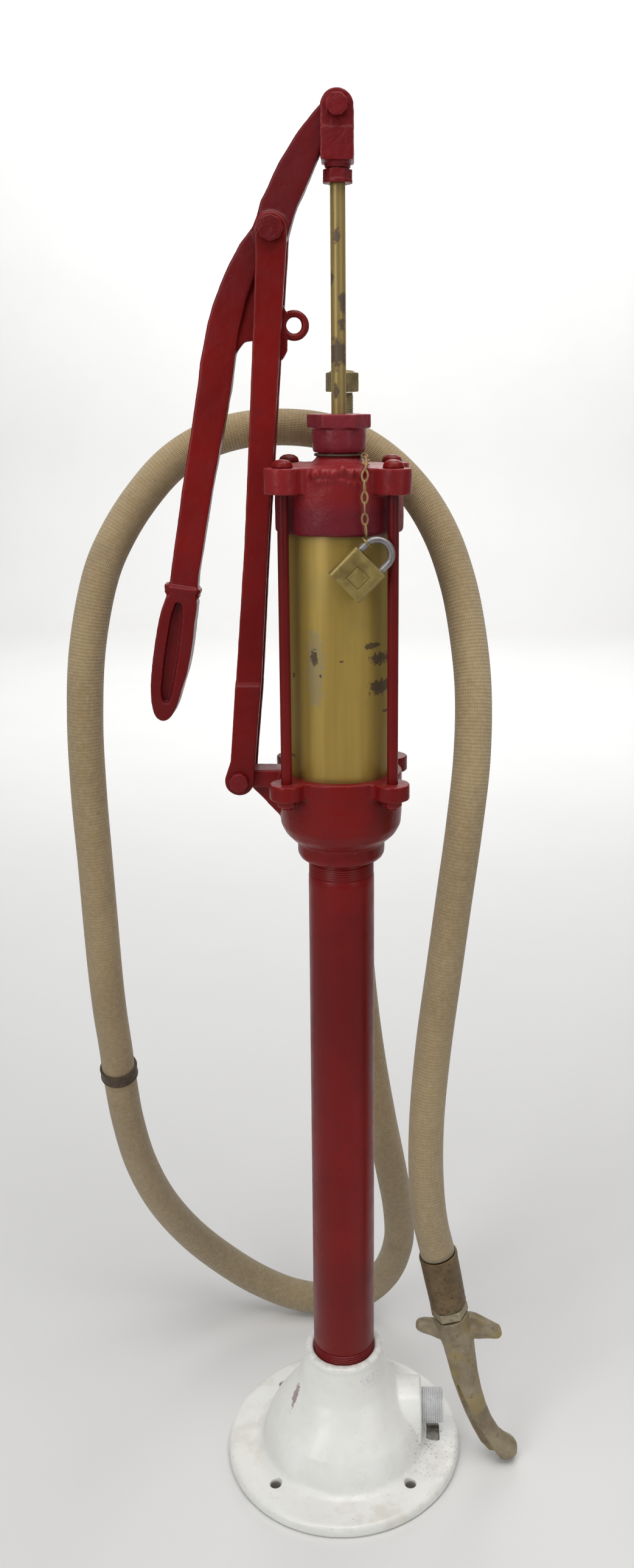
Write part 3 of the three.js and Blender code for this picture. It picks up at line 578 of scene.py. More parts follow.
def brass_rod():
    m = Mat("brass_rod_worn")
    streak = m.noise(120, 5, 0.6, stretch=(1, 1, 0.06))
    col = m.mix(m.span(streak, 0.3, 0.7), (0.25, 0.17, 0.055), (0.36, 0.265, 0.085))
    w = m.noise(170, 4, 0.65)
    dark = None
    for cx, cz, rx, rz in ((-0.001, 1.176, 0.0035, 0.0085), (-0.0055, 1.142, 0.003, 0.006), (0.004, 1.123, 0.004, 0.012), (0.0, 1.082, 0.012, 0.014), (0.003, 1.105, 0.0035, 0.006), (-0.002, 1.050, 0.0025, 0.010)):
        b = m.blot(cx, cz, rx, rz, w, 0.5)
        dark = b if dark is None else m.math("MAXIMUM", dark, b)
    col = m.mix(m.math("MULTIPLY", dark, 0.85), col, (0.075, 0.05, 0.042))
    x, y, z = m.xyz()
    back = m.math("MULTIPLY", m.span(y, 0.0, 0.003), m.span(m.noise(60, 4, 0.6, offset=(2, 7, 1)), 0.55, 0.66))
    col = m.mix(m.math("MULTIPLY", back, 0.7), col, (0.08, 0.055, 0.04))
    m.bump(streak, 0.15, 0.0003)
    m.bump(m.noise(600, 3, 0.6), 0.15, 0.0002)
    return m.done(col, m.math("ADD", m.span(streak, 0.3, 0.7, 0.34, 0.46), m.math("MULTIPLY", dark, 0.2)), 0.35)


def metal(name, a, b, dirt, rough=(0.35, 0.55), metallic=0.8, grain=1.0, dirty=0.5, seed=0.0):
    m = Mat(name)
    o = (seed, -seed, seed * 2)
    n1, n2 = m.noise(60, 5, 0.6, offset=o), m.noise(260, 5, 0.65, offset=o)
    col = m.mix(m.span(n1, 0.3, 0.7), a, b)
    grime = m.span(n2, 0.62 - 0.2 * dirty, 0.72)
    col = m.mix(m.math("MULTIPLY", grime, 0.75), col, dirt)
    col = m.mix(m.math("MULTIPLY", m.pointy(0.495, 0.43), 0.7), col, dirt)
    col = m.mix(m.math("MULTIPLY", m.pointy(0.515, 0.58), 0.4), col, tuple(min(1, c * 1.5) for c in b))
    m.bump(m.noise(180, 5, 0.65, offset=o), 0.5 * grain, 0.0006)
    m.bump(m.noise(900, 3, 0.6), 0.2 * grain, 0.0002)
    met = m.math("SUBTRACT", metallic, m.math("MULTIPLY", grime, metallic * 0.6))
    return m.done(col, m.math("ADD", m.span(n1, 0.3, 0.7, rough[0], rough[1]), m.math("MULTIPLY", grime, 0.2)), met)


def hose_cloth():
    m = Mat("woven_canvas")
    uv = m.new("ShaderNodeUVMap", uv_map="UVMap").outputs[0]
    u, v, _ = m.xyz(uv)
    turns, pitch = 34.0, 0.0063
    a = m.math("ADD", m.math("MULTIPLY", u, turns), m.math("DIVIDE", v, pitch))
    b = m.math("SUBTRACT", m.math("MULTIPLY", u, turns), m.math("DIVIDE", v, pitch))
    sa = m.math("SINE", m.math("MULTIPLY", a, 2 * math.pi))
    sb = m.math("SINE", m.math("MULTIPLY", b, 2 * math.pi))
    weave = m.math("MULTIPLY", m.math("ADD", m.math("MULTIPLY", sa, sb), 1.0), 0.5)
    x, y, z = m.xyz()
    big, mid, fine = m.noise(7, 4, 0.6), m.noise(38, 6, 0.68), m.noise(240, 5, 0.7)
    col = m.mix(m.span(big, 0.32, 0.68), (0.325, 0.225, 0.102), (0.430, 0.312, 0.156))
    col = m.mix(m.span(z, 0.45, 0.10, 0, 0.55), col, (0.285, 0.235, 0.155))
    col = m.mix(m.math("MULTIPLY", m.span(mid, 0.52, 0.74), 0.5), col, (0.235, 0.165, 0.09))
    stain = m.math("MULTIPLY", m.span(m.noise(90, 4, 0.65, offset=(1, 4, 2)), 0.66, 0.72), m.span(big, 0.40, 0.58))
    col = m.mix(m.math("MULTIPLY", stain, 0.6), col, (0.12, 0.075, 0.045))
    pink = m.math("MULTIPLY", m.span(m.noise(55, 3, 0.5, offset=(8, 1, 5)), 0.66, 0.72), m.span(x, -0.05, -0.15))
    col = m.mix(m.math("MULTIPLY", pink, 0.3), col, (0.42, 0.20, 0.13))
    col = m.mix(m.math("MULTIPLY", m.math("SUBTRACT", 1.0, weave), 0.6), col, (0.20, 0.145, 0.08))
    col = m.mix(m.span(fine, 0.35, 0.75, 0, 0.25), col, (0.58, 0.47, 0.30))
    m.bump(weave, 0.75, 0.0007)
    m.bump(fine, 0.35, 0.0003)
    m.bump(m.noise(30, 3, 0.5), 0.3, 0.0016)
    return m.done(col, m.span(mid, 0.3, 0.8, 0.78, 0.95), 0.0, None, None, 0.25, 0.25)


def cast_nozzle():
    m = Mat("grimy_casting")
    n1, n2, n3 = m.noise(40, 5, 0.65), m.noise(170, 5, 0.7), m.noise(24, 4, 0.6, offset=(3, 3, 1))
    col = m.mix(m.span(n1, 0.3, 0.7), (0.20, 0.155, 0.095), (0.33, 0.275, 0.18))
    col = m.mix(m.math("MULTIPLY", m.span(n3, 0.48, 0.62), 0.55), col, (0.33, 0.24, 0.07))
    col = m.mix(m.math("MULTIPLY", m.span(n2, 0.55, 0.72), 0.6), col, (0.10, 0.07, 0.045))
    col = m.mix(m.math("MULTIPLY", m.pointy(0.49, 0.42), 0.8), col, (0.045, 0.03, 0.02))
    col = m.mix(m.math("MULTIPLY", m.pointy(0.515, 0.58), 0.5), col, (0.50, 0.45, 0.35))
    m.bump(m.noise(220, 5, 0.7), 0.6, 0.0007)
    m.bump(m.noise(900, 3, 0.6), 0.25, 0.0002)
    return m.done(col, m.span(n2, 0.3, 0.8, 0.48, 0.7), 0.3)


WHITE = white_paint()
CYL = brass_cylinder()
ROD = brass_rod()
CANVAS = hose_cloth()
NOZZLE = cast_nozzle()
BRASS_IN = metal("brass_inner", (0.42, 0.30, 0.09), (0.55, 0.41, 0.14), (0.12, 0.07, 0.03), (0.28, 0.42), 0.9, 0.5, 0.2)
BRASS_LOCK = metal("brass_lock", (0.21, 0.15, 0.045), (0.335, 0.25, 0.085), (0.075, 0.045, 0.02), (0.36, 0.5), 0.65, 0.5, 0.25, 3.0)
AGED = metal("brass_aged", (0.19, 0.145, 0.06), (0.29, 0.225, 0.10), (0.07, 0.05, 0.03), (0.42, 0.6), 0.5, 0.9, 0.5, 1.0)
STEEL = metal("steel_worn", (0.21, 0.19, 0.19), (0.34, 0.32, 0.32), (0.13, 0.09, 0.07), (0.3, 0.48), 0.75, 0.8, 0.35, 2.0)
ZINC = metal("zinc_thread", (0.62, 0.63, 0.64), (0.74, 0.75, 0.76), (0.35, 0.32, 0.28), (0.4, 0.55), 0.35, 0.6, 0.2, 4.0)
RUST = metal("rust_chain", (0.20, 0.115, 0.045), (0.33, 0.20, 0.085), (0.07, 0.035, 0.018), (0.55, 0.75), 0.35, 1.3, 0.6, 6.0)
BAND = metal("rust_band", (0.055, 0.036, 0.024), (0.105, 0.07, 0.045), (0.02, 0.013, 0.01), (0.45, 0.65), 0.45, 1.4, 0.6, 8.0)
FERRULE = metal("brown_ferrule", (0.105, 0.066, 0.028), (0.19, 0.128, 0.062), (0.03, 0.018, 0.010), (0.42, 0.6), 0.45, 1.0, 0.55, 9.0)
NUTB = metal("nozzle_nut_brass", (0.22, 0.18, 0.11), (0.34, 0.29, 0.19), (0.05, 0.035, 0.02), (0.4, 0.6), 0.45, 1.0, 0.45, 5.0)


def leather():
    m = Mat("oiled_leather")
    n = m.voronoi(700)
    big = m.noise(50, 4, 0.6)
    col = m.mix(m.span(big, 0.3, 0.7), (0.12, 0.06, 0.03), (0.20, 0.11, 0.055))
    col = m.mix(m.span(n, 0.1, 0.5, 0.5, 0), col, (0.07, 0.035, 0.02))
    m.bump(n, 0.4, 0.0003)
    m.bump(m.noise(400, 3, 0.6), 0.3, 0.0002)
    return m.done(col, m.span(big, 0.3, 0.7, 0.5, 0.7), 0.0)


LEATHER = leather()

# ------------------------------------------------------------------ hose: its route is the CAD's own
ROUTE = [
    (0, 130, 924.7), (0, 130, 890), (0, 131, 830), (1, 132, 760), (3, 133, 680), (6, 134, 600), (10, 134, 520), (16, 134, 440), (25, 134, 365), (37, 136, 290), (49, 142, 222), (57, 150, 168),
    (57.5, 160, 118), (43, 172, 70), (14, 184, 35), (-24, 194, 19.5), (-64, 198, 23), (-104, 196, 43), (-143, 188, 77), (-178, 174, 121), (-206, 158, 173), (-224, 142, 230), (-233, 126, 291),
    (-235.5, 109, 348), (-236, 94, 397), (-237, 81, 441), (-237.6, 72, 485), (-238, 66, 527), (-239.5, 60, 605), (-241.5, 56, 680), (-241.5, 56, 751), (-236.5, 60, 820), (-222, 67, 887), (-207.5, 73, 920), (-186.5, 80, 953), (-158, 87, 985), (-127, 92, 1005), (-93, 95, 1015.5), (-57, 96, 1018.5), (-23, 96, 1016), (3, 95, 1009.3), (27, 93, 997.5), (52, 88, 978), (75, 79, 951.5), (92.5, 65, 921), (104, 50, 889.5), (111.5, 37, 858), (119, 14, 796), (118, -6, 733), (111, -17, 667), (102.5, -20, 599), (94, -20, 527), (85.5, -20, 453.5), (80, -20, 378), (80, -20, 318), (84.5, -20, 270), (92, -20, 236),
]
HOSE_R = 17.0


def catmull(points, per=10):
    """The centripetal Catmull-Rom line through the points."""
    p = [np.array(q, float) for q in points]
    out = []
    for i in range(len(p) - 1):
        p1, p2 = p[i], p[i + 1]
        p0 = p[i - 1] if i else 2 * p[0] - p[1]
        p3 = p[i + 2] if i + 2 < len(p) else 2 * p[-1] - p[-2]
        d0, d1, d2 = (max(np.linalg.norm(b - a) ** 0.5, 1e-4) for a, b in ((p0, p1), (p1, p2), (p2, p3)))
        t1 = ((p1 - p0) / d0 - (p2 - p0) / (d0 + d1) + (p2 - p1) / d1) * d1
        t2 = ((p2 - p1) / d1 - (p3 - p1) / (d1 + d2) + (p3 - p2) / d2) * d1
        for k in range(per):
            t = k / per
            out.append(p1 + t1 * t + (-3 * p1 + 3 * p2 - 2 * t1 - t2) * t * t + (2 * p1 - 2 * p2 + t1 + t2) * t ** 3)
    out.append(p[-1])
    return np.array(out)


line = catmull(ROUTE, 10)
steps = np.r_[0, np.cumsum(np.linalg.norm(np.diff(line, axis=0), axis=1))]
length = float(steps[-1])
count = 640
at = np.linspace(0, length, count)
line = np.stack([np.interp(at, steps, line[:, i]) for i in range(3)], 1)
SEG = 32
# the hose's radius wanders a little along its length
radius = np.array([HOSE_R * (0.985 + 0.012 * noise.noise(Vector((s * 0.012, 0.3, 1.7)))) for s in at])
hose_v, hose_f = swept(line, radius, SEG)
hose = raw("hose_cover", [(hose_v, hose_f)])
uvl = hose.data.uv_layers.new(name="UVMap")
for poly in hose.data.polygons:
    idx = list(poly.vertices)
    rings = [i // SEG for i in idx]
    ks = [i % SEG for i in idx]
    wrap = len(idx) == 4 and 0 in ks and SEG - 1 in ks
    for li, ring, k in zip(poly.loop_indices, rings, ks):
        uvl.data[li].uv = ((SEG if wrap and k == 0 else k) / SEG, at[ring] * 0.001)
finish_piece(hose, "root", CANVAS, ["hose"], None)


# ------------------------------------------------------------------ base


def lug_outline(R, rl=15.0, d=65.054, rho=8.0, n=10):
    """A round body with four lugs, joined by hollow curves."""
    A = math.acos(((R + rho) ** 2 + d * d - (rl + rho) ** 2) / (2 * (R + rho) * d))
    cx, cy = (R + rho) * math.cos(A), (R + rho) * math.sin(A)
    pts = []
    for k in range(4):
        turn = rad(45 + 90 * k)
        local = []
        a0, a1 = math.atan2(cy, -cx), math.atan2(cy, d - cx)
        for i in range(n + 1):
            a = a0 + (a1 - a0) * i / n
            local.append((cx + rho * math.cos(a), -cy + rho * math.sin(a)))
        b = math.atan2(cy, cx - d)
        for i in range(1, 2 * n):
            a = -b + 2 * b * i / (2 * n)
            local.append((d + rl * math.cos(a), rl * math.sin(a)))
        for i in range(n + 1):
            a = -a1 + (a1 - a0) * i / n
            local.append((cx + rho * math.cos(a), cy + rho * math.sin(a)))
        for i in range(1, n):
            a = A + (math.pi / 2 - 2 * A) * i / n
            local.append((R * math.cos(a), R * math.sin(a)))
        c, s = math.cos(turn), math.sin(turn)
        pts += [(c * x - s * y, s * x + c * y) for x, y in local]
    return pts


CORNERS = [(-1, -1, "front_left"), (1, -1, "front_right"), (1, 1, "back_right"), (-1, 1, "back_left")]
P = 46.0

bell = soft([(0, 0), (117.4, 0, 2.5), (117.4, 12, 4.5), (89, 12.6, 7), (82.6, 16.5, 5), (78.6, 30, 9), (73.8, 42, 12), (64.8, 55, 12), (55.0, 68, 12), (47.5, 80, 10), (42.6, 92, 9), (40.0, 103, 8), (38.2, 111.5, 3), (38.9, 114.5, 2.2), (37.6, 118.0, 2.6), (30.6, 117.8, 1.5), (30.6, 104, 0), (0, 104)], n=8)
boss = [cyl(27.5, 44, 78, "X", (0, 0, 45), 64), box(50, 78, -27.5, 27.5, 9, 45)]
base = raw("base_bell", [lathe(bell, 128), *boss])
remesh(base, 1.35)
relax(base, 14)
lumpy(base, 0.35, 22, 3.0, lambda c: np.clip((c[:, 2] - 1.0) / 3.0, 0, 1))
holes = [lathe([(0, -2), (5, -2), (5, 11.2), (6.4, 13.5), (6.4, 16), (0, 16)], 40, "Z", (sx * 65.76, sy * 65.76, 0)) for sx, sy, _ in CORNERS]
cut(base, holes + [cyl(17.1, 60, 90, "X", (0, 0, 45), 64), prism(soft([(80.5, -12, 3), (97, -12, 3), (97, 12, 3), (80.5, 12, 3)], closed=True), 7.2, 16, "XY"), cyl(30.65, 98, 125, "Z", (0, 0, 0), 96)])
finish_piece(base, "root", WHITE, ["base"], 40)

thread = [(13.3, 62.6), (16.2, 62.6)]
x = 79.0
while x < 98.0:
    thread += [(15.7, x), (16.65, x + 0.75), (16.65, x + 1.15), (15.7, x + 1.9)]
    x += 2.2
thread += [(15.9, 99.4), (15.2, 99.9), (13.9, 99.9), (13.3, 99.2)]
piece("suction_nipple_thread", lathe(thread, 72, "X", (0, 0, 45)), "root", ZINC, ["suction_nipple"], sharp=50)

# ------------------------------------------------------------------ column
col = [(26.2, 92.6), (28.6, 92.6)]
z = 112.0
while z < 124:
    col += [(28.9, z), (30.0, z + 0.8), (30.0, z + 1.3), (28.9, z + 2.1)]
    z += 2.21
col += [(29.6, 126.4), (30.1, 128.5), (30.15, 300), (30.15, 612), (30.05, 618.6), (29.1, 620.2)]
z = 620.4
while z < 631:
    col += [(28.9, z), (29.8, z + 0.8), (29.8, z + 1.3), (28.9, z + 2.1)]
    z += 2.21
col += [(28.4, 632.4), (28.4, 659.4), (26.2, 659.4)]
piece("column_pipe_painted", lathe(col, 128), "root", RED_PIPE, ["column_pipe"], sharp=50)

# ------------------------------------------------------------------ lower casting
lug_low = prism(lug_outline(54.8, 15.1, 65.054, 8), 704.2, 718.2, "XY")
body = lathe(soft([(0, 636.5), (37.2, 636.5, 2), (39.6, 641, 3), (39.6, 652.5, 3), (44.5, 655.5, 2.5), (50.5, 661.5, 5), (54.4, 669.5, 6), (55.2, 680, 2), (55.2, 718.2, 1.5), (0, 718.2)], n=6), 128)
arm = [box(-90, -46, -12.3, 12.3, 704.2, 720), cyl(12.9, -12.3, 12.3, "Y", (-90, 0, 712), 56), prism([(-84, 706), (-50, 706), (-49, 668)], -4.2, 4.2), prism([(-66, 704), (-48, 704), (-48, 690)], -10, 10)]
low = raw("lower_casting_body", [body, lug_low, *arm])
remesh(low, 1.05)
relax(low, 9)
lumpy(low, 0.28, 16, 9.0)
cut(low, [cyl(47.9, 708, 730, "Z", (0, 0, 0), 96), cyl(28.6, 630, 660, "Z", (0, 0, 0), 96), cyl(30, 660, 709, "Z", (0, 0, 0), 64)] + [cyl(5.2, 700, 722, "Z", (sx * P, sy * P, 0), 32) for sx, sy, _ in CORNERS] + [cyl(6.6, -14, 14, "Y", (-90, 0, 712), 32)])
finish_piece(low, "root", RED, ["lower_casting"], 40)

# ------------------------------------------------------------------ cylinder
piece("cylinder_barrel", lathe(soft([(44.45, 710), (47.6, 710, 0.5), (47.6, 941, 0.5), (44.45, 941)], n=3, closed=False), 160), "root", CYL, ["brass_cylinder"])

# ------------------------------------------------------------------ head
lug_top = prism(lug_outline(55.2, 15.2, 65.054, 8), 967.6, 989.2, "XY")
drum = lathe(soft([(0, 933), (54.4, 933, 1), (55.6, 935, 1.2), (55.6, 984, 3), (52, 988.6, 3), (44, 990.3, 3), (24, 991.5, 3), (20.0, 995.0, 3), (18.4, 999.4, 0.5), (0, 999.4)], n=6), 128)
ridge_path = [(54.0 * math.sin(a), -54.0 * math.cos(a), 985.5 + 1.3 * math.sin(a * 9.0 + 0.6) + 0.9 * math.sin(a * 21)) for a in np.linspace(-0.44, 0.47, 22)]
ridge = swept(ridge_path, [1.2] + [3.5 + 1.3 * math.sin(i * 1.9) for i in range(20)] + [1.2], 14)
apron_path = [(54.6 * math.sin(a), -54.6 * math.cos(a), 977.5 + 2.0 * math.sin(a * 7.0 + 2)) for a in np.linspace(-0.36, 0.36, 16)]
apron = swept(apron_path, [0.8] + [2.2 + 0.9 * math.sin(i * 2.7) for i in range(14)] + [0.8], 12)
head = raw("head_body", [drum, lug_top, ridge, apron, cyl(18, 40, 63.8, "Y", (0, 0, 974), 56)])
remesh(head, 1.05)
relax(head, 8)
lumpy(head, 0.32, 14, 21.0)
cut(head, [cyl(47.9, 930, 943, "Z", (0, 0, 0), 96), cyl(40, 940, 972, "Z", (0, 0, 0), 64), cyl(6.7, 960, 1003, "Z", (0, 0, 0), 40), cyl(13.6, 50, 70, "Y", (0, 0, 974), 40)] + [cyl(5.2, 960, 995, "Z", (sx * P, sy * P, 0), 32) for sx, sy, _ in CORNERS])
finish_piece(head, "root", RED_TOP_REFLECTION, ["head"], 40)
# the head's threaded neck, inside the gland nut
piece("head_neck", lathe(soft([(11, 998.5), (18.4, 998.5, 0.4), (18.4, 999.8, 0.4), (16.5, 999.8), (16.5, 1016, 0.6), (11, 1016)], n=2), 72), "root", RED)

# ------------------------------------------------------------------ gland nut
gland = raw("gland_nut_body", [lathe(soft([(0, 1000), (21.6, 1000, 1.2), (22.8, 1003.5, 1), (23.3, 1009, 1), (23.3, 1018.6, 0.8), (21.9, 1020.4, 0.4), (21.9, 1024), (0, 1024)], n=4), 96), hexagon(27.5, 1020.4, 1032.0, "Z", (0, 0, 0), 0.0)])
remesh(gland, 0.75)
relax(gland, 7)
lumpy(gland, 0.25, 11, 31.0)
cut(gland, [cyl(16.9, 998, 1018, "Z", (0, 0, 0), 72), lathe([(0, 1010), (6.75, 1010), (6.75, 1030.4), (8.6, 1032.5), (8.6, 1040), (0, 1040)], 48)])
finish_piece(gland, "root", RED_GLAND_REFLECTION, ["gland_nut"], 40)

# ------------------------------------------------------------------ tie rods, domed heads above and nuts below
for sx, sy, where in CORNERS:
    a = (sx * P, sy * P, 0)
    prof = soft([(0, 694.6), (4.4, 694.6, 0.6), (4.75, 698), (4.75, 989.4), (8.9, 989.4, 0.4), (9.0, 990.8, 0.8), (7.9, 993.6, 2.5), (4.8, 995.6, 2), (0, 996.3)], n=5)
    piece(f"tie_rod_{where}_domed", lathe(prof, 48, "Z", a), "root", RED_SMOOTH, [f"tie_rod_{where}"], sharp=45)
    nut = raw(f"tie_nut_{where}_hex", [hexagon(8.6, 697.3, 704.0, "Z", a, 0.35 * (1 + sx + 2 * sy))])
    bevel(nut, 1.0, 3, 25)
    cut(nut, [cyl(5.0, 690, 710, "Z", a, 32)])
    finish_piece(nut, "root", RED, [f"tie_nut_{where}"], 40)

# ------------------------------------------------------------------ piston rod, locknut and clevis
piece("piston_rod_bar", lathe(soft([(0, 884.2), (6.35, 884.2, 0.8), (6.35, 1238, 0.8), (0, 1238)], n=3), 64), "rod", ROD, ["piston_rod"])
lock = raw("rod_locknut_hex", [hexagon(12.2, 1216.5, 1227.6, "Z", (0, 0, 0), 0.0), cyl(12.3, 1217.0, 1219.6, "Z", (0, 0, 0), 40)])
remesh(lock, 0.5)
relax(lock, 4)
lumpy(lock, 0.3, 5, 41.0)
cut(lock, [cyl(6.7, 1210, 1230, "Z", (0, 0, 0), 40)])
finish_piece(lock, "rod", RED_ROUGH, ["rod_locknut"], 40)

fork = raw("clevis_fork", [
    cyl(10.4, 1228.2, 1236, "Z", (0, 0, 0), 48, 12.0),
    prism(soft([(-13.4, 1233, 2), (13.4, 1233, 2), (13.4, 1274), (-13.4, 1274)], closed=True), -14.2, 14.2),
    prism(soft([(-13.5, 1233, 2), (13.5, 1233, 2), (13.5, 1258, 1), (-13.5, 1258, 1)], closed=True), -15, 15),
    cyl(13.5, -14.4, 14.4, "Y", (0, 0, 1274), 64),
])
remesh(fork, 0.7)
cut(fork, [box(-20, 20, -8.7, 8.7, 1240.5, 1295)])
remesh(fork, 0.7)
relax(fork, 7)
lumpy(fork, 0.38, 7, 51.0)
cut(fork, [cyl(6.6, -20, 20, "Y", (0, 0, 1274), 40), cyl(6.7, 1220, 1239, "Z", (0, 0, 0), 40)])
finish_piece(fork, "rod", RED_ROUGH, ["clevis"], 40)


def square_head(cx, cz, half, corner, turn):
    r = half / math.cos(math.pi / 8)
    pts = soft([(r * math.cos(turn + math.pi * (2 * k + 1) / 8), r * math.sin(turn + math.pi * (2 * k + 1) / 8), corner) for k in range(8)], n=4, closed=True)
    return [(cx + a, cz + b) for a, b in pts]


def bolt(name, body, cx, cz, y_head, y_face, y_end, half, corner, turn, replaces, nodes_nut=None, seed=0.0):
    """An eight-sided bolt head with painted-over corners, and its shank."""
    shapes = [prism(square_head(cx, cz, half, corner, turn), y_head, y_face), cyl(6.3, y_face - 0.2, y_end, "Y", (cx, 0, cz), 40)]
    ob = raw(name, shapes)
    remesh(ob, 0.5)
    relax(ob, 9)
    lumpy(ob, 0.35, 6, 60.0 + seed)
    finish_piece(ob, body, RED_ROUGH, replaces, 45)


def nut_y(name, body, cx, cz, y0, y1, r, turn, replaces, bore=6.5):
    ob = raw(name, [hexagon(r, y0, y1, "Y", (cx, 0, cz), turn)])
    remesh(ob, 0.55)
    relax(ob, 5)
    lumpy(ob, 0.25, 7, 70.0)
    cut(ob, [cyl(bore, y0 - 5, y1 + 5, "Y", (cx, 0, cz), 40)])
    finish_piece(ob, body, RED_ROUGH, replaces, 45)


bolt("clevis_bolt_square", "rod", 0, 1274, -21.3, -15.0, 22.3, 8.5, 1.4, 0.0, ["clevis_bolt"])
nut_y("clevis_bolt_nut_hex", "rod", 0, 1274, 15.4, 21.3, 10.4, math.pi / 6, ["clevis_bolt_nut"])

# ------------------------------------------------------------------ lever
OUT = [
    (-13.2, 1277), (-20, 1269.5), (-28, 1260.5), (-34.5, 1252), (-41, 1242), (-47.3, 1232.5), (-52, 1224), (-57, 1213), (-62.8, 1203), (-66.5, 1190), (-70.2, 1182), (-80.7, 1169), (-89.3, 1154.5), (-98.1, 1136.5), (-104.7, 1119.5), (-109.3, 1104.5), (-112.8, 1089.5), (-116, 1074.5), (-119.2, 1052), (-134, 972), (-146.8, 896), (-149.2, 882),
    (-124.5, 877), (-122.4, 896), (-108, 972), (-90.7, 1052), (-87.2, 1076), (-83, 1100), (-76, 1125), (-66, 1150), (-54, 1166), (-41, 1175), (-37.5, 1186), (-33, 1199), (-27.8, 1209), (-22.5, 1220), (-18.6, 1229), (-13.8, 1240), (-8, 1250), (-2, 1259), (6, 1262),
]
WEB = [(-92, 1140), (-88.5, 1076), (-85, 1083, 5), (-79, 1090.8, 6), (-70, 1092), (-61, 1090.6), (-53, 1087), (-53, 1168), (-62, 1170)]
GRIP = [(-151, 877), (-156.4, 862), (-160.4, 845), (-163.2, 830), (-165.2, 817), (-166.9, 803), (-167.5, 790), (-166.7, 777.5), (-163.6, 768.7), (-158.6, 765.2), (-152.6, 766.7), (-147.2, 773.5), (-142.5, 785), (-138.8, 797), (-135, 808), (-131.6, 822), (-128.8, 838), (-127, 852), (-125.6, 876)]
POCKET = [(-142.8, 871.5), (-146.6, 862), (-149.8, 848), (-153.6, 828), (-156.8, 806), (-158.2, 790), (-156.6, 782.5), (-153.0, 781.4), (-149.4, 789), (-145.8, 804), (-141.6, 828), (-138.8, 848), (-137.2, 864), (-138.6, 871.5)]


def curve2(points, per=5):
    pts = [(p[0], 0.0, p[1]) for p in points]
    pts = [*pts, pts[0]]
    return [(q[0], q[2]) for q in catmull(pts, per)[:-1]]


axis = Vector((-0.165, -0.986))
k0 = Vector((-137.4, 880.5))


def collar(along, side_r, y_r, thick):
    """One ring of the grip's collar: a rounded slab square to the arm."""
    c = k0 + axis * along
    n = Vector((axis.y, -axis.x))
    pts = []
    for i in range(48):
        a = 2 * math.pi * i / 48
        ca, sa = math.cos(a), math.sin(a)
        e = 0.62
        pts.append((side_r * math.copysign(abs(ca) ** e, ca), y_r * math.copysign(abs(sa) ** e, sa)))
    verts = []
    for h in (-thick / 2, thick / 2):
        for sr, yy in pts:
            q = c + n * sr + axis * h
            verts.append((q.x, yy, q.y))
    m = len(pts)
    faces = [list(range(m)), list(range(2 * m - 1, m - 1, -1))] + [[i, m + i, m + (i + 1) % m, (i + 1) % m] for i in range(m)]
    return np.array(verts), faces


lever = raw("lever_arm", [prism(OUT, -8.2, 8.2), prism(WEB, -4, 4), prism(curve2(GRIP, 3), -11.6, 11.6), cyl(13.1, -8.2, 8.2, "Y", (0, 0, 1274), 64), cyl(14.4, -9.5, 9.5, "Y", (-54.4, 0, 1180), 64), collar(-2.6, 16.4, 13.2, 3.6), collar(2.4, 15.6, 12.6, 3.2)])
remesh(lever, 0.95)
cut(lever, [prism(curve2(POCKET, 4), -14, -4.2), prism(curve2(POCKET, 4), 4.2, 14)])
remesh(lever, 0.95)
relax(lever, 8)
lumpy(lever, 0.3, 15, 81.0)
cut(lever, [cyl(6.6, -20, 20, "Y", (0, 0, 1274), 40), cyl(6.6, -20, 20, "Y", (-54.4, 0, 1180), 40)])
finish_piece(lever, "lever", RED_LEVER, ["lever"], 40)

eye = raw("lock_eye_ring", [torus(9.55, 3.15, "Y", (-37.2, 0, 1104.6), 72, 24), prism(soft([(-52.6, 1078, 2), (-48, 1075.6, 2), (-44.8, 1080.5, 1), (-43.0, 1084, 1), (-42.9, 1094.5, 1), (-44.6, 1096.5, 1), (-44.6, 1112.5, 1), (-42.9, 1114, 1), (-45.6, 1120.5, 2), (-52.6, 1123.8, 2)], closed=True), -3.4, 3.4)])
remesh(eye, 0.55)
relax(eye, 6)
lumpy(eye, 0.2, 8, 91.0)
finish_piece(eye, "lever", RED_SMOOTH, ["lock_eye"], 40)

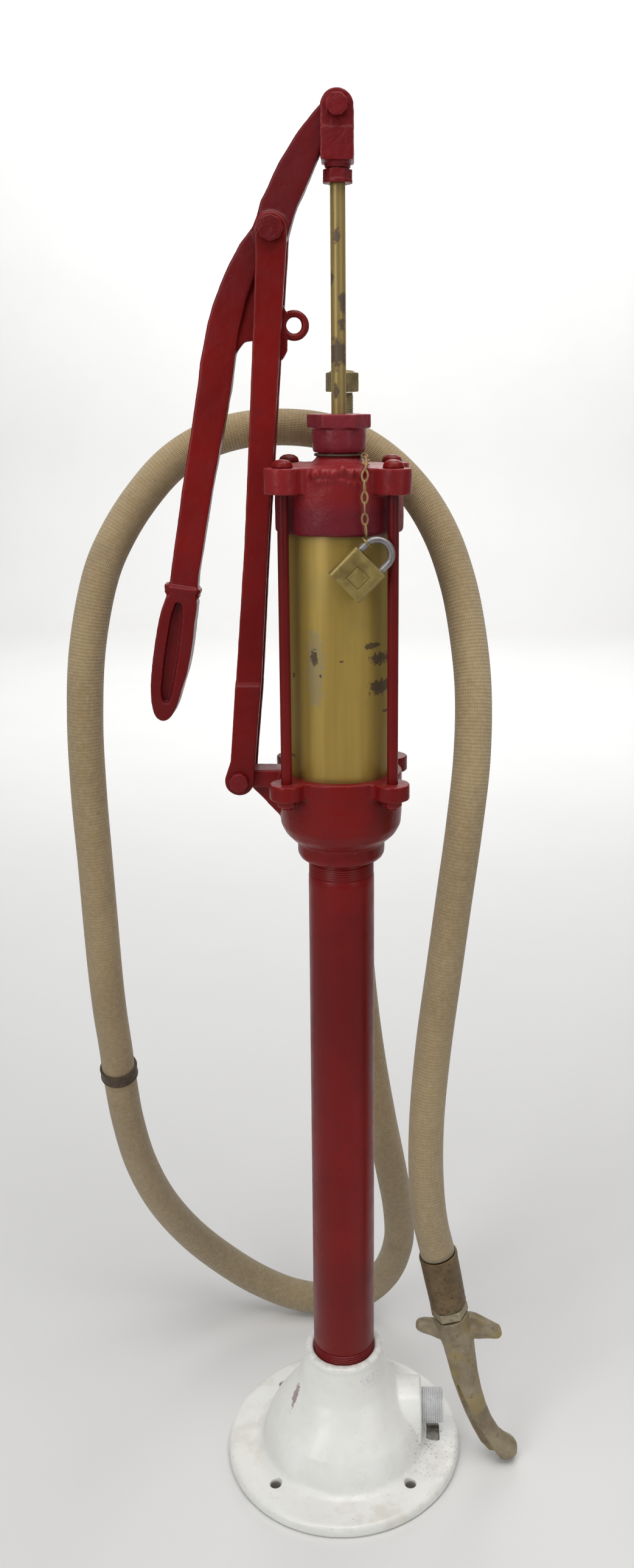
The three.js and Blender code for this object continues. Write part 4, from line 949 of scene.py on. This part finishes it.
# ------------------------------------------------------------------ link straps, joggled outwards near the foot
for side, where in ((-1, "front"), (1, "back")):
    def ys(a, b):
        return (-b, -a) if side < 0 else (a, b)

    upper = [(-67.5, 1176), (-67.3, 1158), (-73.2, 1052), (-81.4, 920), (-91.3, 802), (-69.0, 802), (-61.3, 920), (-51.0, 1052), (-42.6, 1158), (-41.3, 1176)]
    lower = [(-91.8, 798), (-97.4, 730), (-102.8, 714), (-77.2, 710), (-75.7, 730), (-69.3, 798)]
    # the slanted stretch is a skewed slab between the two
    a0, a1 = ys(10.1, 17.5)
    b0, b1 = ys(13.1, 20.5)
    sl = np.array([(-91.5, a0, 802.5), (-69.0, a0, 802.5), (-69.0, a1, 802.5), (-91.5, a1, 802.5), (-91.9, b0, 797), (-69.4, b0, 797), (-69.4, b1, 797), (-91.9, b1, 797)], float)
    slf = [[0, 1, 2, 3], [7, 6, 5, 4], [0, 4, 5, 1], [1, 5, 6, 2], [2, 6, 7, 3], [3, 7, 4, 0]]
    strap = raw(f"link_strap_{where}_bar", [prism(upper, a0, a1), cyl(13.1, a0, a1, "Y", (-54.4, 0, 1180), 64), prism(lower, b0, b1), cyl(12.9, b0, b1, "Y", (-90, 0, 712), 64), (sl, slf)])
    remesh(strap, 0.8)
    relax(strap, 5)
    lumpy(strap, 0.2, 13, 101.0 + side)
    cut(strap, [cyl(6.5, -30, 30, "Y", (-54.4, 0, 1180), 40), cyl(6.5, -30, 30, "Y", (-90, 0, 712), 40)])
    finish_piece(strap, "link", RED_SMOOTH, [f"link_strap_{where}"], 40)

bolt("fulcrum_bolt_square", "link", -54.4, 1180, -24.3, -17.6, 24.8, 10.0, 1.6, 0.35, ["fulcrum_bolt"], seed=3)
nut_y("fulcrum_nut_hex", "link", -54.4, 1180, 18.0, 23.8, 10.4, 0.2, ["fulcrum_nut"])
for name, y_head, y_face, y_end, node in (("foot_bolt_head", -26.3, -20.6, -13.1, "foot_bolt_head_end"),):
    bolt(name, "link", -90, 712, y_head, y_face, y_end, 8.0, 1.3, 0.2, [node], seed=5)
foot_nut = raw("foot_bolt_nut_hex", [hexagon(9.9, 20.8, 26.3, "Y", (-90, 0, 712), 0.1), cyl(6.3, 13.1, 21.5, "Y", (-90, 0, 712), 40)])
remesh(foot_nut, 0.55)
relax(foot_nut, 5)
lumpy(foot_nut, 0.25, 7, 75.0)
finish_piece(foot_nut, "link", RED_ROUGH, ["foot_bolt_nut_end"], 45)

# ------------------------------------------------------------------ outlet at the back
piece("outlet_nipple_pipe", lathe(soft([(9.5, 56.6), (13.3, 56.6, 0.5), (13.3, 117.2, 0.5), (9.5, 117.2)], n=2), 56, "Y", (0, 0, 974)), "root", AGED, ["outlet_nipple"])
tee = raw("outlet_tee_body", [cyl(16.2, 946.2, 992.8, "Z", (0, 130, 0), 56, edge=1.0), cyl(16.2, 112.2, 130, "Y", (0, 0, 974), 56, edge=1.0), cyl(17.0, 946.2, 952.5, "Z", (0, 130, 0), 56), cyl(17.0, 986.4, 992.8, "Z", (0, 130, 0), 56), cyl(17.0, 112.2, 118, "Y", (0, 0, 974), 56)])
remesh(tee, 0.8)
relax(tee, 6)
lumpy(tee, 0.2, 9, 111.0)
cut(tee, [cyl(13.5, 105, 118.5, "Y", (0, 0, 974), 40), cyl(10.9, 986, 996, "Z", (0, 130, 0), 40), cyl(9.5, 940, 990, "Z", (0, 130, 0), 40)])
finish_piece(tee, "root", AGED, ["outlet_tee"], 40)
stem = [(7.5, 986.6), (10.6, 986.6), (10.6, 1030)]
z = 1030.0
while z < 1047:
    stem += [(9.9, z + 0.3), (10.5, z + 1.0), (10.5, z + 1.3), (9.9, z + 1.9)]
    z += 1.9
stem += [(9.9, 1049.6), (7.5, 1049.6)]
piece("vent_stem_pipe", lathe(stem, 48, "Z", (0, 130, 0)), "root", AGED, ["vent_stem"], sharp=50)
capx = raw("vent_cap_hex", [hexagon(15.9, 1050.1, 1068, "Z", (0, 130, 0), 0.4 + math.pi / 6), lathe(soft([(0, 1066), (12.5, 1066, 1), (11.5, 1069.6, 2), (0, 1070.9)], n=4), 48, "Z", (0, 130, 0))])
remesh(capx, 0.7)
relax(capx, 6)
lumpy(capx, 0.2, 8, 121.0)
finish_piece(capx, "root", AGED, ["vent_cap"], 45)
coup = raw("hose_coupling_nut", [lathe(soft([(0, 925.2), (18.3, 925.2, 1), (18.3, 929, 0.5), (17.7, 930, 0.4), (18.4, 931.2, 0.4), (18.4, 938.2, 0.4), (0, 938.2)], n=3), 64, "Z", (0, 130, 0)), hexagon(19.8, 938, 945.6, "Z", (0, 130, 0), math.pi / 6)])
remesh(coup, 0.8)
relax(coup, 5)
cut(coup, [cyl(9.5, 920, 950, "Z", (0, 130, 0), 40)])
coup = finish_piece(coup, "root", AGED, ["hose_coupling"], 40)

# ------------------------------------------------------------------ band on the hose
a = Vector((-235.6, 105, 361))
d = Vector((-0.5, -15, 49)).normalized()
q = d.to_track_quat("Z", "Y").to_matrix().to_4x4()
q.translation = a
ring = lathe(soft([(17.2, -6.8), (18.9, -6.8, 0.5), (19.2, -5.2, 0.4), (18.8, -4.4, 0.3), (18.8, 4.4, 0.3), (19.2, 5.2, 0.4), (18.9, 6.8, 0.5), (17.2, 6.8)], n=3), 96)
lapped = prism(soft([(-5, 18.6, 0.5), (5, 18.6, 0.5), (4.2, 20.0, 0.5), (-4.2, 20.0, 0.5)], closed=True), -6.2, 6.2, "XY")


def placed(shape, matrix):
    v, f = shape
    return np.array([matrix @ Vector(p) for p in v]), f


band = raw("hose_band_clip", [placed(ring, q)])
lumpy(band, 0.15, 9, 131.0)
band = finish_piece(band, "root", BAND, ["hose_band"], 45)

# ------------------------------------------------------------------ ferrule, nut and spout
top = Vector((92, -20, 235.6))
dn = Vector((0.193, 0, -0.981)).normalized()
qn = dn.to_track_quat("Z", "Y").to_matrix().to_4x4()
qn.translation = top
fer = lathe(soft([(17.15, 0.5), (18.7, 0.5, 0.5), (18.9, 3.5, 0.6), (18.5, 5.0, 0.5), (18.2, 30, 1), (17.8, 50, 1), (17.6, 53, 0.6), (17.9, 55.5, 0.8), (16.4, 57.9, 0.8), (10, 57.9), (10, 40), (17.0, 38)], n=3), 96)
ferrule = raw("hose_ferrule", [placed(fer, qn)])
lumpy(ferrule, 0.25, 11, 141.0)
ferrule = finish_piece(ferrule, "root", FERRULE, ["nozzle_ferrule"], 45)
nn = raw("nozzle_swivel_nut", [placed(hexagon(18.4, 58.6, 67.8, "Z", (0, 0, 0), 0.5), qn)])
bevel(nn, 1.1, 3, 25)
nn = finish_piece(nn, "root", NUTB, ["nozzle_nut"], 40)

# the casting itself is the CAD's own node, softened to a sand-cast skin
nozzle = NODES["nozzle_body"]
nozzle.data.materials.clear()
nozzle.data.materials.append(NOZZLE)
m = nozzle.modifiers.new("join", "WELD")
m.merge_threshold = 0.00001
m = nozzle.modifiers.new("skin", "REMESH")
m.mode = "VOXEL"
m.voxel_size = 0.0008
m.use_smooth_shade = True
m = nozzle.modifiers.new("soften", "SMOOTH")
m.factor = 0.5
m.iterations = 7

# ------------------------------------------------------------------ chain and padlock
piece("chain_collar_ring", torus(20.4, 1.15, "Z", (0, 0, 998), 72, 14), "root", BAND, ["chain_collar"])
chain_line = catmull([(21.4, -9.4, 998.0), (23, -20, 995.0), (23.4, -36, 993.6), (23.2, -48, 992.6), (22.8, -56.4, 989.6), (22.4, -59.6, 983), (22.2, -59.9, 965), (22.4, -59.0, 948), (23.2, -58.0, 937.6)], 24)
cs = np.r_[0, np.cumsum(np.linalg.norm(np.diff(chain_line, axis=0), axis=1))]
pitch = 8.6
links = int(cs[-1] // pitch)
shapes = []
for i in range(links + 1):
    s = min(cs[-1], 2.0 + i * (cs[-1] - 4.0) / links)
    c = Vector([np.interp(s, cs, chain_line[:, j]) for j in range(3)])
    e = Vector([np.interp(min(s + 1, cs[-1]), cs, chain_line[:, j]) for j in range(3)]) - Vector([np.interp(max(s - 1, 0), cs, chain_line[:, j]) for j in range(3)])
    e.normalize()
    out = Vector((0, -0.2, 1)) if c.z > 988 else Vector((0, -1, 0))
    side = e.cross(out).normalized()
    out = side.cross(e).normalized()
    if i % 2:
        side, out = out, side
    twist = 0.25 * math.sin(i * 2.1)
    side, out = side * math.cos(twist) + out * math.sin(twist), out * math.cos(twist) - side * math.sin(twist)
    pts = []
    for k in range(28):
        t = 2 * math.pi * k / 28
        w, h = 2.15 * math.sin(t), 4.9 * math.cos(t)
        w *= 1.0 - 0.28 * math.cos(2 * t) * 0.5
        pts.append(c + e * h + side * w)
    # a closed ring of wire
    ring_v, n = [], len(pts)
    for k in range(n):
        tan = (pts[(k + 1) % n] - pts[k - 1]).normalized()
        u1 = out
        u2 = tan.cross(u1).normalized()
        for j in range(10):
            b = 2 * math.pi * j / 10
            ring_v.append(pts[k] + (u1 * math.cos(b) * 0.85 + u2 * math.sin(b) * 0.95))
    ring_f = [[k * 10 + j, k * 10 + (j + 1) % 10, ((k + 1) % n) * 10 + (j + 1) % 10, ((k + 1) % n) * 10 + j] for k in range(n) for j in range(10)]
    shapes.append((np.array(ring_v), ring_f))
piece("padlock_chain_links", shapes, "root", RUST, ["padlock_chain"], sharp=0)

lockm = Matrix.Translation((16, -57.2, 903)) @ Matrix.Rotation(rad(45), 4, "Y")
outline = soft([(-17.9, -7.7, 4.4), (17.9, -7.7, 4.4), (17.9, 7.7, 4.4), (-17.9, 7.7, 4.4)], n=8, closed=True)
lock_body = raw("padlock_case", [placed(prism(outline, -15.9, 15.9, "XY"), lockm)])
cut(lock_body, [placed(prism(soft([(-7.6, -8.0, 1.2), (7.6, -8.0, 1.2), (7.6, 7.4, 1.2), (-7.6, 7.4, 1.2)], closed=True), -9.0, -7.1), lockm @ Matrix.Translation((2.2, 0, -1.0))), placed(cyl(3.5, 6, 17, "Z", (12.2, 0, 0), 32), lockm), placed(cyl(3.5, -3, 17, "Z", (-12.2, 0, 0), 32), lockm), placed(cyl(5.0, -17, -14.6, "Z", (0, 0, 0), 40), lockm)])
bevel(lock_body, 0.7, 3, 40)
plug = raw("padlock_keyway", [placed(lathe(soft([(0, -15.4), (4.7, -15.4, 0.4), (4.7, -12, 0), (0, -12)], n=2), 40), lockm)])
cut(plug, [placed(box(-0.7, 0.7, -3.0, 3.0, -16.5, -13), lockm)])
finish_piece(plug, "root", BRASS_LOCK, (), 40)
face = raw("padlock_panel", [placed(prism(soft([(-6.3, -6.6, 0.8), (6.3, -6.6, 0.8), (6.3, 6.0, 0.8), (-6.3, 6.0, 0.8)], closed=True), -7.5, -7.0), lockm @ Matrix.Translation((2.2, 0, -1.0)))])
bevel(face, 0.2, 2, 40)
finish_piece(face, "root", BRASS_LOCK, (), 40)
finish_piece(lock_body, "root", BRASS_LOCK, ["padlock_body"], 40)
bow = [(12.2, 0, 9.2), (12.2, 0, 16)] + [(12.2 * math.cos(t), 0, 23 + 12.2 * math.sin(t)) for t in np.linspace(0, math.pi, 17)] + [(-12.2, 0, 14), (-12.2, 0, 6), (-12.2, 0, -0.8)]
path = catmull(bow, 4)
shk = raw("padlock_shackle_bow", [placed(swept(path, [3.05] * len(path), 24), lockm)])
finish_piece(shk, "shackle", STEEL, ["padlock_shackle"], 50)
# the ring that ties the chain to the shackle
tie = lockm @ Matrix.Translation((-12.7, 0, 24.2))
piece("chain_end_ring", placed(torus(4.7, 1.05, "Z", (0, 0, 0), 40, 14), tie), "root", BRASS_LOCK)

# ------------------------------------------------------------------ the pieces that stay as the CAD has them
INNER = {
    "foot_valve_seat": BRASS_IN, "foot_valve_disc": BRASS_IN, "foot_valve_cage": BRASS_IN, "lower_gasket": LEATHER, "upper_gasket": LEATHER,
    "packing": LEATHER, "packing_follower": BRASS_IN, "piston_body": BRASS_IN, "piston_valve": BRASS_IN, "piston_valve_stop": BRASS_IN,
    "piston_top_nut": BRASS_IN, "piston_bottom_nut": BRASS_IN, "cup_leather_upper": LEATHER, "cup_leather_lower": LEATHER, "foot_bolt_middle": STEEL,
}
for node, mat in INNER.items():
    o = NODES[node]
    o.data.materials.clear()
    o.data.materials.append(mat)

# ------------------------------------------------------------------ floor, backdrop and light


def stage_material(name, color, rough, scale):
    m = Mat(name)
    n = m.noise(scale, 3, 0.5)
    col = m.mix(m.span(n, 0.3, 0.7), tuple(c * 0.985 for c in color), color)
    return m.done(col, rough, 0.0, None, None, 0.3)


def sweep_profile():
    pts = [(-5.0, 0.0), (4.6, 0.0)]
    for i in range(1, 13):
        t = rad(90 * i / 12)
        pts.append((4.6 + 0.8 * math.sin(t), 0.8 - 0.8 * math.cos(t)))
    pts.append((5.4, 5.0))
    return pts


prof = sweep_profile()
me = bpy.data.meshes.new("floor")
vs = [(x, y, z - 0.0002) for y, z in prof for x in (-6.0, 6.0)]
me.from_pydata(vs, [], [[2 * i, 2 * i + 1, 2 * i + 3, 2 * i + 2] for i in range(len(prof) - 1)])
floor = bpy.data.objects.new("floor", me)
scene.collection.objects.link(floor)
me.materials.append(stage_material("pale_floor", (0.76, 0.755, 0.745), 0.7, 3))
for p in me.polygons:
    p.use_smooth = True

world = bpy.data.worlds.new("studio")
scene.world = world
world.use_nodes = True
bg = world.node_tree.nodes["Background"]
bg.inputs[0].default_value = (0.80, 0.82, 0.85, 1)
bg.inputs[1].default_value = 0.27


def area(name, at_, look, size, size_y, power, color=(1, 1, 1)):
    d = bpy.data.lights.new(name, "AREA")
    d.shape = "RECTANGLE"
    d.size, d.size_y = size, size_y
    d.energy = power
    d.color = color
    o = bpy.data.objects.new(name, d)
    scene.collection.objects.link(o)
    o.location = at_
    o.rotation_euler = (Vector(look) - Vector(at_)).to_track_quat("-Z", "Y").to_euler()


area("overhead", (0.1, -0.7, 2.7), (0, 0, 0.6), 2.2, 1.4, 36, (1.0, 0.99, 0.97))
area("front_left", (-1.7, -2.2, 1.7), (0, 0, 0.7), 1.2, 1.8, 26, (0.97, 0.985, 1.0))
area("front_right", (1.9, -1.9, 1.3), (0, 0, 0.6), 0.9, 1.6, 7, (1.0, 0.985, 0.97))
area("wall_wash", (0, 2.4, 3.4), (0, 5.2, 1.6), 5.0, 1.0, 170)
area("back_fill", (0.6, 3.6, 2.6), (0, 0, 0.7), 1.6, 1.6, 16)
area("back_top", (0.3, 0.5, 2.5), (0, 0.1, 0.9), 1.4, 0.6, 8)
